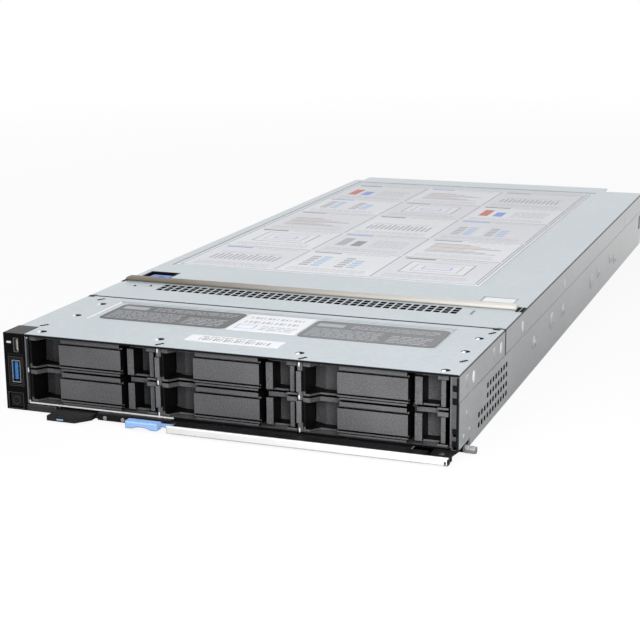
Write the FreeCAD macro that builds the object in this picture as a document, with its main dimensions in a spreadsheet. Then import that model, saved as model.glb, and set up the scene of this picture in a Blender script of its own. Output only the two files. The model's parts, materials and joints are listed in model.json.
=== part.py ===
import FreeCAD, Part
import os
from types import SimpleNamespace

import Sketcher

# Blade server sled, lying flat. X runs across it, Y from the front face to the rear, Z up.
# The origin is the centre of the tray's underside. All lengths are millimetres.

doc = FreeCAD.newDocument("BladeServer")
sheet = doc.addObject("Spreadsheet::Sheet", "Sizes")
nodes = []

lengths = {
    # Envelope of the sled, its stock and its seams
    "sled_width": 250.2,
    "sled_depth": 565.0,
    "sled_height": 42.15,
    "sled_sheet": 1.0,
    "sled_gap": 0.3,
    # Control panel, its ports and its button
    "panel_width": 12.2,
    "panel_cap_depth": 16.0,
    "panel_depth": 45.0,
    "panel_button_front": 0.4,
    "panel_button_depth": 5.0,
    "panel_button_travel": 1.4,
    "panel_button_low": 1.0,
    "panel_button_size": 8.0,
    "panel_button_left": 1.8,
    "panel_button_play": 0.2,
    "panel_usb_left": 4.3,
    "panel_usb_wide": 5.2,
    "panel_usb_low": 15.2,
    "panel_usb_tall": 12.2,
    "panel_usb_depth": 14.0,
    "panel_shell": 0.4,
    "panel_tongue_thick": 1.9,
    "panel_tongue_setback": 1.5,
    "panel_tongue_root": 2.0,
    "panel_tongue_margin": 1.1,
    "panel_service_left": 5.9,
    "panel_service_wide": 3.2,
    "panel_service_low": 31.9,
    "panel_service_tall": 7.8,
    "panel_service_depth": 6.0,
    "panel_board_thick": 1.6,
    "panel_button_edge": 0.5,
    # Drive bays
    "bay_first": 12.9,
    "bay_pitch": 77.67,
    "bay_floor": 5.0,
    "bay_row_pitch": 18.4,
    "bay_wall": 0.8,
    "bay_front": 0.6,
    "bay_depth": 102.0,
    "bay_divider_setback": 1.6,
    "bay_wall_top": 40.9,
    "bay_ledge": 1.8,
    "bay_ledge_thick": 0.7,
    "bay_ledge_gap": 0.2,
    "bay_ledge_front": 6.0,
    "bay_columns": 3,
    "bay_rows": 2,
    # Ejector lever
    "lever_pivot_x": 243.4,
    "lever_pivot_out": 6.0,
    "lever_low": 1.1,
    "lever_thick": 2.3,
    "lever_eye": 5.0,
    "lever_arm_start": 200.0,
    "lever_arm_front": 3.0,
    "lever_arm_back": 1.0,
    "lever_pin": 1.5,
    "lever_pin_play": 0.05,
    "lever_nose_reach": 6.0,
    "lever_nose_back": 10.5,
    "lever_nose": 1.75,
    "lever_nose_height": 2.15,
    "lever_nose_root": 4.2,
    "lever_web": 2.5,
    # Chassis tray
    "tray_seat": 3.5,
    "tray_seat_left": 104.0,
    "tray_seat_right": 184.0,
    "tray_seat_front": 30.0,
    "tray_seat_back": 90.0,
    "tray_seam_height": 28.0,
    "tray_wall_top": 38.0,
    "tray_lip_height": 3.4,
    "tray_lip_end": 29.6,
    "tray_bend": 1.0,
    "tray_notch_wide": 26.0,
    "tray_notch_deep": 21.0,
    "tray_notch_tall": 4.6,
    "tray_slot_inset": 12.0,
    "tray_slot_long": 7.0,
    "tray_slot_low": 14.0,
    "tray_slot_tall": 11.0,
    # Vents in the side walls
    "side_vent_first": 36.0,
    "side_vent_pitch": 5.75,
    "side_vent_length": 3.4,
    "side_vent_height": 2.8,
    "side_vent_low": 4.6,
    "side_vent_row_pitch": 5.3,
    "side_vent_columns": 11,
    "side_vent_rows": 2,
    "side_vent_skip": 3,
    # Front top plate
    "front_plate_depth": 91.2,
    "front_plate_seam_gap": 0.6,
    "front_plate_bend": 1.2,
    "front_plate_edge": 0.8,
    "front_plate_emboss": 0.5,
    "front_plate_emboss_left": 26.0,
    "front_plate_emboss_right": 226.0,
    "front_plate_emboss_front": 42.0,
    "front_plate_emboss_back": 84.0,
    # Top cover
    "cover_tongue": 17.0,
    "cover_tongue_left": 8.0,
    "cover_tongue_right": 219.0,
    "cover_vent_first": 31.0,
    "cover_vent_front": 117.0,
    "cover_vent_pitch": 4.9,
    "cover_vent_row_pitch": 5.0,
    "cover_vent_wide": 3.5,
    "cover_vent_long": 3.3,
    "cover_vent_columns": 38,
    "cover_vent_rows": 3,
    "cover_label_left": 8.0,
    "cover_label_right": 214.0,
    "cover_label_front": 186.0,
    "cover_label_back": 556.0,
    "cover_emboss": 0.4,
    "cover_notch": 2.4,
    "cover_pocket_left": 220.5,
    "cover_pocket_right": 241.0,
    "cover_pocket_front": 151.0,
    "cover_pocket_back": 162.5,
    # Well of the cover latch
    "well_left": 5.0,
    "well_right": 25.0,
    "well_front": 147.5,
    "well_back": 164.0,
    "well_deep": 6.0,
    "well_wall": 1.0,
    "well_flange": 2.0,
    "well_flange_thick": 0.8,
    "well_play": 0.1,
    # Gasket bar
    "gasket_front": 134.6,
    "gasket_width": 8.8,
    "gasket_tall": 2.4,
    "gasket_inset": 0.4,
    "gasket_crown": 1.6,
    # Cover latch
    "cover_tab_side": 0.4,
    "cover_tab_left_gap": 2.6,
    "cover_tab_travel": 3.5,
    "cover_tab_top": 1.0,
    "cover_tab_thick": 1.8,
    "cover_tab_foot_inset": 3.0,
    "cover_tab_hole": 1.8,
    "cover_tab_hole_deep": 1.2,
    "cover_tab_seat": 0.1,
    # Trims on the dividers
    "trim_width": 2.6,
    "trim_front": 0.2,
    "trim_depth": 4.2,
    "trim_notch": 4.6,
    "trim_notch_deep": 1.8,
    "trim_play": 0.05,
    # Plate at the right end
    "end_plate_thick": 0.8,
    "end_plate_notch": 2.2,
    "end_plate_low": 6.0,
    "end_plate_pair": 6.5,
    "end_plate_group": 22.5,
    "end_plate_edge": 0.2,
    # Drive blanks
    "blank_side_gap": 0.35,
    "blank_height": 17.3,
    "blank_seat": 0.15,
    "blank_sill": 1.0,
    "blank_lintel": 15.0,
    "blank_back": 18.6,
    "blank_arm_back": 72.0,
    "blank_arm": 1.6,
    "blank_web": 1.6,
    "blank_stile": 1.2,
    "blank_face": 1.9,
    "blank_pocket_end": 8.0,
    "blank_pocket_floor": 13.2,
    "blank_scoop": 16.4,
    "blank_rail_left": 3.6,
    "blank_rail_inset": 0.8,
    "blank_step_rail": 7.0,
    "blank_step_slope": 3.6,
    "blank_grip_left": 18.2,
    "blank_grip_right": 54.4,
    "blank_grip_face": 1.2,
    "blank_rail_face": 1.8,
    "blank_slit_end": 57.2,
    "blank_post_end": 60.9,
    "blank_post_face": 3.6,
    "blank_cavity_floor": 14.0,
    "blank_cavity_end": 69.0,
    "blank_end_rail": 2.0,
    "blank_groove": 0.9,
    "blank_rib": 0.8,
    "blank_rib_groove": 0.6,
    "blank_groove_deep": 2.4,
    "blank_boss_front": 26.3,
    "blank_boss_back": 31.0,
    # Latch arms of the blanks
    "catch_left": 1.6,
    "catch_right": 1.5,
    "catch_face": 2.6,
    "catch_gap": 0.4,
    "catch_thumb": 4.4,
    "catch_taper": 2.0,
    "catch_arm_left": 0.4,
    "catch_arm_right": 0.4,
    "catch_root_gap": 0.3,
    # Drive backplane
    "backplane_thick": 2.0,
    "backplane_low": 5.4,
    "backplane_top": 40.4,
    "backplane_vent_wide": 24.0,
    "backplane_vent_tall": 9.0,
    "backplane_vent_edge": 8.0,
    "backplane_plug_wide": 42.0,
    "backplane_plug_tall": 6.0,
    "backplane_plug_deep": 7.0,
    "backplane_margin": 1.0,
    # Handle grip and face
    "grip_left": 103.0,
    "grip_right": 236.0,
    "grip_face": 11.6,
    "grip_back": 3.2,
    "grip_low": 0.5,
    "grip_tall": 3.6,
    "grip_face_left": 101.0,
    "grip_face_right": 248.5,
    "grip_face_thick": 1.4,
    "grip_face_low": 0.9,
    "grip_face_tall": 3.9,
    "grip_face_edge": 0.5,
    # Handle bracket and pivot pin
    "bracket_nose": 5.3,
    "bracket_low": 3.55,
    "bracket_back": 6.0,
    "bracket_pin_head": 3.2,
    "bracket_pin_foot": 0.3,
    # Release tab and bracket
    "release_plate_left": 57.2,
    "release_plate_right": 98.6,
    "release_plate_low": 3.3,
    "release_plate_out": 3.0,
    "release_plate_back": 14.0,
    "release_lip_right": 76.2,
    "release_lip_thick": 1.2,
    "release_lip_low": 0.8,
    "release_rivet": 1.1,
    "release_rivet_head": 0.7,
    "release_rivet_height": 2.4,
    "release_rivet_first": 61.8,
    "release_rivet_pitch": 10.4,
    "release_tab_left": 77.0,
    "release_tab_right": 95.0,
    "release_tab_out": 11.8,
    "release_tab_back": 6.5,
    "release_tab_low": 0.8,
    "release_tab_tall": 3.8,
    "release_scoop": 14.0,
    "release_scoop_deep": 1.1,
    "release_stem_left": 80.5,
    "release_stem_right": 91.5,
    "release_stem_low": 1.2,
    "release_stem_tall": 1.7,
    "release_stem_back": 9.0,
    "release_tail_right": 101.6,
    "release_tail_front": 5.6,
    "release_tail_back": 4.0,
    "release_edge": 0.6,
    # Information tag and guide
    "tag_left": 31.6,
    "tag_right": 54.0,
    "tag_out": 12.4,
    "tag_front_right": 48.0,
    "tag_shoulder": 5.0,
    "tag_low": 1.25,
    "tag_top": 2.95,
    "tag_grip_low": 0.3,
    "tag_back": 70.0,
    "tag_rail": 1.0,
    "tag_rail_gap": 0.2,
    "tag_rail_front": 2.0,
    "tag_rail_top": 3.2,
    "tag_grip_end": 0.5,
    # System board
    "board_margin": 4.6,
    "board_front": 114.0,
    "board_back": 548.0,
    "board_low": 3.2,
    "board_thick": 1.6,
    "board_notch": 14.0,
    "board_standoff": 3.0,
    "board_standoff_inset": 9.0,
    # Processors
    "processor_socket_wide": 84.0,
    "processor_socket_long": 64.0,
    "processor_socket_tall": 3.2,
    "processor_wide": 76.0,
    "processor_length": 56.5,
    "processor_tall": 3.4,
    "processor_rim": 6.5,
    "processor_front": 186.0,
    "processor_pitch": 158.0,
    # Heat sinks
    "heat_sink_wide": 80.0,
    "heat_sink_length": 108.0,
    "heat_sink_base": 4.0,
    "heat_sink_top": 37.0,
    "heat_sink_fin": 0.8,
    "heat_sink_fins": 16,
    "heat_sink_screw": 2.6,
    "heat_sink_screw_inset": 5.0,
    "heat_sink_ear": 16.0,
    # Memory
    "memory_socket_long": 141.0,
    "memory_socket_wide": 6.4,
    "memory_socket_tall": 7.0,
    "memory_tower_top": 21.0,
    "memory_slot": 1.7,
    "memory_slot_deep": 4.4,
    "memory_first": 66.0,
    "memory_pitch": 10.2,
    "memory_per_bank": 4,
    "memory_module_long": 133.35,
    "memory_module_tall": 31.25,
    "memory_module_thick": 1.3,
    "memory_chip_long": 122.0,
    "memory_chip_low": 8.0,
    "memory_chip_tall": 14.0,
    "memory_chip_thick": 1.1,
    "memory_seat": 0.1,
    "memory_latch_thick": 2.4,
    "memory_latch_slot": 3.0,
    "memory_latch_top": 25.0,
    "memory_latch_back": 2.0,
    "memory_latch_toe": 0.85,
    "memory_latch_drop": 1.35,
    # Cards
    "card_thick": 1.6,
    "card_controller_left": 30.0,
    "card_controller_right": 118.0,
    "card_controller_front": 122.0,
    "card_controller_back": 170.0,
    "card_controller_low": 14.0,
    "card_chip": 34.0,
    "card_chip_tall": 9.0,
    "card_ribs": 5,
    "card_plug_long": 60.0,
    "card_plug_wide": 8.0,
    "card_boot_left": 150.0,
    "card_boot_right": 216.0,
    "card_boot_front": 126.0,
    "card_boot_back": 166.0,
    "card_boot_low": 12.0,
    "card_stick": 22.0,
    "card_stick_tall": 3.0,
    "card_mezz_wide": 92.0,
    "card_mezz_front": 497.0,
    "card_mezz_back": 556.0,
    "card_mezz_low": 16.0,
    "card_mezz_centre": 66.0,
    # Rear connectors
    "rear_plug_wide": 56.0,
    "rear_plug_tall": 14.0,
    "rear_plug_front": 545.0,
    "rear_plug_back": 574.0,
    "rear_plug_wafer": 1.6,
    "rear_plug_wafers": 8,
    "rear_plug_wafer_deep": 8.0,
    "rear_plug_power_wide": 40.0,
    "rear_plug_power_tall": 15.0,
    "rear_plug_power_front": 530.0,
    "rear_plug_power_back": 572.0,
    "rear_plug_guide": 10.0,
    "rear_plug_guide_bore": 3.1,
    "rear_plug_guide_deep": 16.0,
    "rear_plug_blade": 3.0,
    "rear_plug_blades": 6,
    "rear_plug_blade_tall": 9.0,
    "rear_plug_blade_deep": 10.0,
    # Coin cell
    "cell_y": 484.0,
    "cell_radius": 10.0,
    "cell_tall": 3.2,
    "cell_holder": 12.0,
    "cell_holder_tall": 5.0,
    "cell_floor": 1.2,
    "cell_play": 0.2,
    # Rear panel
    "rear_panel_inset": 6.0,
    "rear_panel_top": 38.0,
    "rear_panel_window_play": 1.0,
}

for row, (alias, length) in enumerate(lengths.items(), 1):
    sheet.set(f"A{row}", alias)
    sheet.set(f"B{row}", str(length))
    sheet.setAlias(f"B{row}", alias)
sheet.recompute()


class Size:
    # A length that carries its value and the formula that ties it to the spreadsheet.
    def __init__(self, value, formula):
        self.value = value
        self.formula = formula

    def __add__(self, other):
        other = as_size(other)
        return Size(self.value + other.value, f"({self.formula} + {other.formula})")

    def __sub__(self, other):
        other = as_size(other)
        return Size(self.value - other.value, f"({self.formula} - {other.formula})")

    def __mul__(self, other):
        other = as_size(other)
        return Size(self.value * other.value, f"({self.formula} * {other.formula})")

    def __truediv__(self, other):
        other = as_size(other)
        return Size(self.value / other.value, f"({self.formula} / {other.formula})")

    def __radd__(self, other):
        return as_size(other) + self

    def __rsub__(self, other):
        return as_size(other) - self

    def __rmul__(self, other):
        return as_size(other) * self

    def __neg__(self):
        return Size(0.0, "0") - self


def as_size(item):
    if isinstance(item, Size):
        return item
    return Size(float(item), str(float(item)))


def group(piece):
    known = SimpleNamespace()
    for alias, length in lengths.items():
        if alias.startswith(f"{piece}_"):
            setattr(known, alias[len(piece) + 1:], Size(length, f"Sizes.{alias}"))
    return known


def bind(item, prop, length):
    item.setExpression(prop, as_size(length).formula)


def rectangle(low_u, low_v, high_u, high_v):
    return [(low_u, low_v), (high_u, low_v), (high_u, high_v), (low_u, high_v)]


def hexagon(u, v, radius):
    half = radius / 2
    lift = radius * 3 ** 0.5 / 2
    return [(u + radius, v), (u + half, v + lift), (u - half, v + lift),
            (u - radius, v), (u - half, v - lift), (u + half, v - lift)]


def disc(u, v, radius):
    return SimpleNamespace(u=as_size(u), v=as_size(v), radius=as_size(radius))


def pin_point(sketch, geometry, position, u, v):
    for kind, length in (("DistanceX", as_size(u)), ("DistanceY", as_size(v))):
        rule = Sketcher.Constraint(kind, -1, 1, geometry, position, length.value)
        bind(sketch, f"Constraints[{sketch.addConstraint(rule)}]", length)


def draw_disc(sketch, shape):
    centre = FreeCAD.Vector(shape.u.value, shape.v.value, 0)
    circle = Part.Circle(centre, FreeCAD.Vector(0, 0, 1), shape.radius.value)
    index = sketch.addGeometry(circle)
    pin_point(sketch, index, 3, shape.u, shape.v)
    rule = Sketcher.Constraint("Radius", index, shape.radius.value)
    bind(sketch, f"Constraints[{sketch.addConstraint(rule)}]", shape.radius)


def draw_polygon(sketch, points):
    corners = [FreeCAD.Vector(as_size(u).value, as_size(v).value, 0) for u, v in points]
    following = corners[1:] + corners[:1]
    lines = [sketch.addGeometry(Part.LineSegment(a, b)) for a, b in zip(corners, following)]
    for line, after in zip(lines, lines[1:] + lines[:1]):
        sketch.addConstraint(Sketcher.Constraint("Coincident", line, 2, after, 1))
    for line, (u, v) in zip(lines, points):
        pin_point(sketch, line, 1, u, v)


def draw(body, plane, start, loops):
    sketch = body.newObject("Sketcher::SketchObject", f"{body.Label}_sketch")
    base = next(f for f in body.Origin.OriginFeatures if f.Role == f"{plane}_Plane")
    sketch.AttachmentSupport = (base, "")
    sketch.MapMode = "FlatFace"
    bind(sketch, "AttachmentOffset.Base.z", -as_size(start) if plane == "XZ" else start)
    for loop in loops:
        if isinstance(loop, list):
            draw_polygon(sketch, loop)
        else:
            draw_disc(sketch, loop)
    return sketch


def pad(body, plane, start, length, *loops):
    feature_sketch = draw(body, plane, start, loops)
    feature = body.newObject("PartDesign::Pad", f"{body.Label}_pad")
    feature.Profile = feature_sketch
    feature.Reversed = plane == "XZ"
    bind(feature, "Length", length)
    return feature


def cut(body, plane, start, length, *loops):
    feature_sketch = draw(body, plane, start, loops)
    feature = body.newObject("PartDesign::Pocket", f"{body.Label}_cut")
    feature.Profile = feature_sketch
    feature.Reversed = plane != "XZ"
    bind(feature, "Length", length)
    return feature


def repeat(body, feature, columns, column_pitch, rows=1, row_pitch=0):
    pattern = body.newObject("PartDesign::LinearPattern", f"{body.Label}_pattern")
    pattern.Originals = [feature]
    sketch = feature.Profile[0]
    pattern.Direction = (sketch, ["H_Axis"])
    bind(pattern, "Occurrences", columns)
    bind(pattern, "Length", column_pitch * (columns - 1))
    if as_size(rows).value > 1:
        pattern.Direction2 = (sketch, ["V_Axis"])
        bind(pattern, "Occurrences2", rows)
        bind(pattern, "Length2", row_pitch * (rows - 1))
    body.Tip = pattern
    return pattern


def round_edges(body, radius, chosen):
    base = body.Tip
    doc.recompute([base])
    names = [f"Edge{i}" for i, edge in enumerate(base.Shape.Edges, 1) if chosen(edge)]
    fillet = body.newObject("PartDesign::Fillet", f"{body.Label}_fillet")
    fillet.Base = (base, names)
    bind(fillet, "Radius", radius)
    return fillet


def bevel_edges(body, size, chosen):
    base = body.Tip
    doc.recompute([base])
    names = [f"Edge{i}" for i, edge in enumerate(base.Shape.Edges, 1) if chosen(edge)]
    chamfer = body.newObject("PartDesign::Chamfer", f"{body.Label}_chamfer")
    chamfer.Base = (base, names)
    bind(chamfer, "Size", size)
    return chamfer


def runs_along(edge, axis):
    direction = edge.Vertexes[-1].Point - edge.Vertexes[0].Point
    return edge.Length > 0 and abs(abs(getattr(direction, axis)) - edge.Length) < 1e-6


def close(value, length):
    return abs(value - as_size(length).value) < 1e-4


def new_body(label, listed=True):
    body = doc.addObject("PartDesign::Body", label)
    body.Label = label
    if listed:
        nodes.append(body)
    return body


def block(label, x_range, y_range, z_range):
    item = doc.addObject("Part::Box", label)
    item.Label = label
    spans = (("Length", "x", x_range), ("Width", "y", y_range), ("Height", "z", z_range))
    for prop, axis, (low, high) in spans:
        bind(item, prop, as_size(high) - low)
        bind(item, f"Placement.Base.{axis}", low)
    nodes.append(item)
    return item


def copies(label, source, places):
    doc.recompute([source])
    item = doc.addObject("Part::Feature", label)
    item.Label = label
    solids = []
    for x, y, z in places:
        solid = source.Shape.copy()
        solid.translate(FreeCAD.Vector(as_size(x).value, as_size(y).value, as_size(z).value))
        solids.append(solid)
    item.Shape = Part.makeCompound(solids)
    nodes.append(item)
    return item


def placed_copy(label, source, x, y, z):
    doc.recompute([source])
    item = doc.addObject("Part::Feature", label)
    item.Label = label
    item.Shape = source.Shape.copy()
    for axis, length in (("x", x), ("y", y), ("z", z)):
        bind(item, f"Placement.Base.{axis}", length)
    nodes.append(item)
    return item


# Envelope of the sled and the stock that its sheet metal is folded from
sled = group("sled")
left = -sled.width / 2
right = sled.width / 2
front = -sled.depth / 2
rear = sled.depth / 2
joggle = sled.sheet + sled.gap
inner_top = sled.height - sled.sheet

# Control panel at the left end of the front face
panel = group("panel")

# Drive bays behind the front face: three columns of two rows
bay = group("bay")
cage_front = front + bay.front
cage_underside = bay.floor - bay.wall
wall_centres = [left + bay.first + bay.pitch * index for index in range(4)]

# Ejector handle under the drive bays
lever = group("lever")
pivot_x = left + lever.pivot_x
pivot_y = front - lever.pivot_out

# Chassis tray: floor and joggled side walls folded from one sheet
tray = group("tray")
vent = group("side_vent")
seam = tray.seam_height


def wall_profile():
    right_half = [
        (right, 0),
        (right, seam),
        (right - joggle, seam),
        (right - joggle, tray.wall_top),
        (right - joggle - sled.sheet, tray.wall_top),
        (right - joggle - sled.sheet, seam - sled.sheet),
        (right - sled.sheet, seam - sled.sheet),
        (right - sled.sheet, sled.sheet),
    ]
    left_half = [(-x, z) for x, z in reversed(right_half)]
    return right_half + left_half


def panel_corner():
    reach = panel.width + sled.gap
    return rectangle(left, front, left + reach, front + panel.cap_depth + sled.gap)


chassis_tray = new_body("chassis_tray")
pad(chassis_tray, "XZ", front, sled.depth, wall_profile())
lip_start = left + panel.width + sled.gap
pad(chassis_tray, "XY", 0, tray.lip_height,
    rectangle(lip_start, front, left + tray.lip_end, front + sled.sheet))
pad(chassis_tray, "XY", 0, cage_underside,
    *[hexagon(left + x, front + y, tray.seat)
      for x in (tray.seat_left, tray.seat_right) for y in (tray.seat_front, tray.seat_back)])
cut(chassis_tray, "XY", 0, sled.height, panel_corner())
cut(chassis_tray, "XY", 0, tray.notch_tall,
    rectangle(right - tray.notch_wide, front, right, front + tray.notch_deep))
slot_front = rear - tray.slot_inset
cut(chassis_tray, "YZ", left, sled.width,
    rectangle(slot_front, tray.slot_low, slot_front + tray.slot_long, tray.slot_low + tray.slot_tall))
for band in range(2):
    start = front + vent.first + vent.pitch * vent.skip * band
    low = vent.low + vent.row_pitch * vent.rows * band
    hole = cut(chassis_tray, "YZ", left, sled.width,
               rectangle(start, low, start + vent.length, low + vent.height))
    repeat(chassis_tray, hole, vent.columns - vent.skip * band, vent.pitch, vent.rows, vent.row_pitch)
round_edges(chassis_tray, tray.bend,
            lambda e: runs_along(e, "y") and close(e.CenterOfMass.z, 0)
            and close(abs(e.CenterOfMass.x), right))

# Front top plate over the drive bays and the sliding top cover behind it
plate = group("front_plate")
cover = group("cover")
well = group("well")
cover_front = front + plate.depth + plate.seam_gap


def folded_lid():
    low = seam + sled.gap
    return [
        (left, low),
        (left, sled.height),
        (right, sled.height),
        (right, low),
        (right - sled.sheet, low),
        (right - sled.sheet, inner_top),
        (left + sled.sheet, inner_top),
        (left + sled.sheet, low),
    ]


def top_edge(edge):
    return (runs_along(edge, "y") and close(edge.CenterOfMass.z, sled.height)
            and close(abs(edge.CenterOfMass.x), right))


front_top_plate = new_body("front_top_plate")
pad(front_top_plate, "XZ", front, plate.depth, folded_lid())
cut(front_top_plate, "XY", 0, sled.height, panel_corner())
cut(front_top_plate, "XY", sled.height - plate.emboss, plate.emboss,
    rectangle(left + plate.emboss_left, front + plate.emboss_front,
              left + plate.emboss_right, front + plate.emboss_back))
round_edges(front_top_plate, plate.edge,
            lambda e: runs_along(e, "x") and close(e.CenterOfMass.y, front)
            and close(e.CenterOfMass.z, sled.height))
round_edges(front_top_plate, plate.bend, top_edge)

top_cover = new_body("top_cover")
pad(top_cover, "XZ", cover_front, rear - cover_front, folded_lid())
pad(top_cover, "XY", inner_top, sled.sheet,
    rectangle(left + cover.tongue_left, rear - sled.sheet, left + cover.tongue_right, rear + cover.tongue))
cut(top_cover, "XY", inner_top, sled.sheet,
    rectangle(left + well.left, front + well.front, left + well.right, front + well.back))
for edges in ((cover.label_left, cover.label_front, cover.label_right, cover.label_back),
              (cover.pocket_left, cover.pocket_front, cover.pocket_right, cover.pocket_back)):
    cut(top_cover, "XY", sled.height - cover.emboss, cover.emboss,
        rectangle(left + edges[0], front + edges[1], left + edges[2], front + edges[3]))
round_edges(top_cover, plate.bend, top_edge)
cut(top_cover, "XY", inner_top, sled.sheet,
    *[rectangle(x, cover_front, x + cover.notch, cover_front + cover.notch)
      for x in (left + cover.notch, right - cover.notch * 2)])
vent_x = left + cover.vent_first
vent_y = front + cover.vent_front
hole = cut(top_cover, "XY", inner_top, sled.sheet,
           rectangle(vent_x, vent_y, vent_x + cover.vent_wide, vent_y + cover.vent_long))
repeat(top_cover, hole, cover.vent_columns, cover.vent_pitch, cover.vent_rows, cover.vent_row_pitch)

# Conductive gasket bar across the cover
gasket = group("gasket")
emi_gasket = new_body("emi_gasket")
gasket_y = front + gasket.front
pad(emi_gasket, "YZ", left + gasket.inset, sled.width - gasket.inset * 2,
    rectangle(gasket_y, sled.height, gasket_y + gasket.width, sled.height + gasket.tall))
round_edges(emi_gasket, gasket.crown,
            lambda e: runs_along(e, "x") and close(e.CenterOfMass.z, sled.height + gasket.tall))

# Cover latch in its well
latch_housing = new_body("latch_housing")
well_floor = sled.height - well.deep
pad(latch_housing, "XY", well_floor, well.deep,
    rectangle(left + well.left + well.play, front + well.front + well.play,
              left + well.right - well.play, front + well.back - well.play))
pad(latch_housing, "XY", inner_top - well.flange_thick, well.flange_thick,
    rectangle(left + well.left - well.flange, front + well.front - well.flange,
              left + well.right + well.flange, front + well.back + well.flange))
cut(latch_housing, "XY", well_floor + well.wall, well.deep - well.wall,
    rectangle(left + well.left + well.wall, front + well.front + well.wall,
              left + well.right - well.wall, front + well.back - well.wall))

tab = group("cover_tab")
cover_latch = new_body("cover_latch")
tab_left = left + well.left + well.wall + tab.left_gap
tab_right = left + well.right - well.wall - tab.side
tab_front = front + well.front + well.wall + tab.side
tab_back = front + well.back - well.wall - tab.side - tab.travel
tab_top = sled.height - tab.top
pad(cover_latch, "XY", tab_top - tab.thick, tab.thick, rectangle(tab_left, tab_front, tab_right, tab_back))
foot_low = well_floor + well.wall + tab.seat
pad(cover_latch, "XY", foot_low, tab_top - tab.thick - foot_low,
    rectangle(tab_left + tab.foot_inset, tab_front, tab_right - tab.foot_inset, tab_back))
cut(cover_latch, "XY", tab_top - tab.hole_deep, tab.hole_deep,
    disc((tab_left + tab_right) / 2, (tab_front + tab_back) / 2, tab.hole))

# Control panel housing, its sockets and its power button
control_panel = new_body("control_panel")
pad(control_panel, "XY", 0, sled.height,
    rectangle(left, front, left + panel.width, front + panel.cap_depth))
inner_left = left + joggle + sled.sheet + sled.gap
pad(control_panel, "XY", sled.sheet + sled.gap, tray.wall_top - sled.sheet - sled.gap,
    rectangle(inner_left, front + panel.cap_depth - sled.gap, left + panel.width, front + panel.depth))
button_room = panel.button_front + panel.button_depth + panel.button_travel + sled.gap
cut(control_panel, "XZ", front, button_room,
    rectangle(left + panel.button_left, panel.button_low,
              left + panel.button_left + panel.button_size, panel.button_low + panel.button_size))
usb_x = left + panel.usb_left
cut(control_panel, "XZ", front, panel.usb_depth,
    rectangle(usb_x, panel.usb_low, usb_x + panel.usb_wide, panel.usb_low + panel.usb_tall))
service_x = left + panel.service_left
cut(control_panel, "XZ", front, panel.service_depth,
    rectangle(service_x, panel.service_low, service_x + panel.service_wide,
              panel.service_low + panel.service_tall))

power_button = new_body("power_button")
button_y = front + panel.button_front
pad(power_button, "XZ", button_y, panel.button_depth,
    rectangle(left + panel.button_left + panel.button_play, panel.button_low + panel.button_play,
              left + panel.button_left + panel.button_size - panel.button_play,
              panel.button_low + panel.button_size - panel.button_play))
bevel_edges(power_button, panel.button_edge, lambda e: close(e.CenterOfMass.y, button_y))


def socket_shell(label, x, z, wide, tall, deep):
    shell = new_body(label)
    pad(shell, "XZ", front, deep, rectangle(x, z, x + wide, z + tall))
    cut(shell, "XZ", front, deep - panel.shell,
        rectangle(x + panel.shell, z + panel.shell, x + wide - panel.shell, z + tall - panel.shell))
    return shell


socket_shell("usb_port_shell", usb_x, panel.usb_low, panel.usb_wide, panel.usb_tall, panel.usb_depth)
service_port = socket_shell("service_port", service_x, panel.service_low, panel.service_wide,
                            panel.service_tall, panel.service_depth)
service_mid = service_x + panel.service_wide / 2
pad(service_port, "XZ", front + panel.tongue_setback, panel.service_depth - panel.tongue_setback,
    rectangle(service_mid - panel.shell, panel.service_low + panel.tongue_setback,
              service_mid + panel.shell, panel.service_low + panel.service_tall - panel.tongue_setback))

usb_port_tongue = new_body("usb_port_tongue")
tongue_back = panel.usb_depth - panel.shell
usb_mid = usb_x + panel.usb_wide / 2
pad(usb_port_tongue, "XZ", front + panel.tongue_setback, tongue_back - panel.tongue_setback,
    rectangle(usb_mid - panel.tongue_thick / 2, panel.usb_low + panel.tongue_margin,
              usb_mid + panel.tongue_thick / 2, panel.usb_low + panel.usb_tall - panel.tongue_margin))
pad(usb_port_tongue, "XZ", front + tongue_back - panel.tongue_root, panel.tongue_root,
    rectangle(usb_x + panel.shell, panel.usb_low + panel.shell,
              usb_x + panel.usb_wide - panel.shell, panel.usb_low + panel.usb_tall - panel.shell))
block("control_panel_board", (inner_left, left + panel.width),
      (front + panel.depth, front + panel.depth + panel.board_thick),
      (sled.sheet + sled.gap, tray.wall_top))

# Drive cage: floor, side walls, two dividers and the ledges that carry the upper row
drive_cage = new_body("drive_cage")
pad(drive_cage, "XZ", cage_front, bay.depth,
    rectangle(wall_centres[0] - bay.wall / 2, cage_underside, wall_centres[3] + bay.wall / 2, bay.floor))
walls = [rectangle(x - bay.wall / 2, cage_underside, x + bay.wall / 2, bay.wall_top) for x in wall_centres]
pad(drive_cage, "XZ", cage_front, bay.depth, walls[0], walls[3])
pad(drive_cage, "XZ", front + bay.divider_setback, bay.depth + bay.front - bay.divider_setback,
    walls[1], walls[2])
ledge_low = bay.floor + bay.row_pitch - bay.ledge_gap - bay.ledge_thick
ledge_spans = [(wall_centres[0], wall_centres[0] + bay.ledge),
               (wall_centres[3] - bay.ledge, wall_centres[3])]
ledge_spans += [(x - bay.ledge, x + bay.ledge) for x in wall_centres[1:3]]
pad(drive_cage, "XZ", front + bay.ledge_front, bay.depth + bay.front - bay.ledge_front,
    *[rectangle(low, ledge_low, high, ledge_low + bay.ledge_thick) for low, high in ledge_spans])

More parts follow.
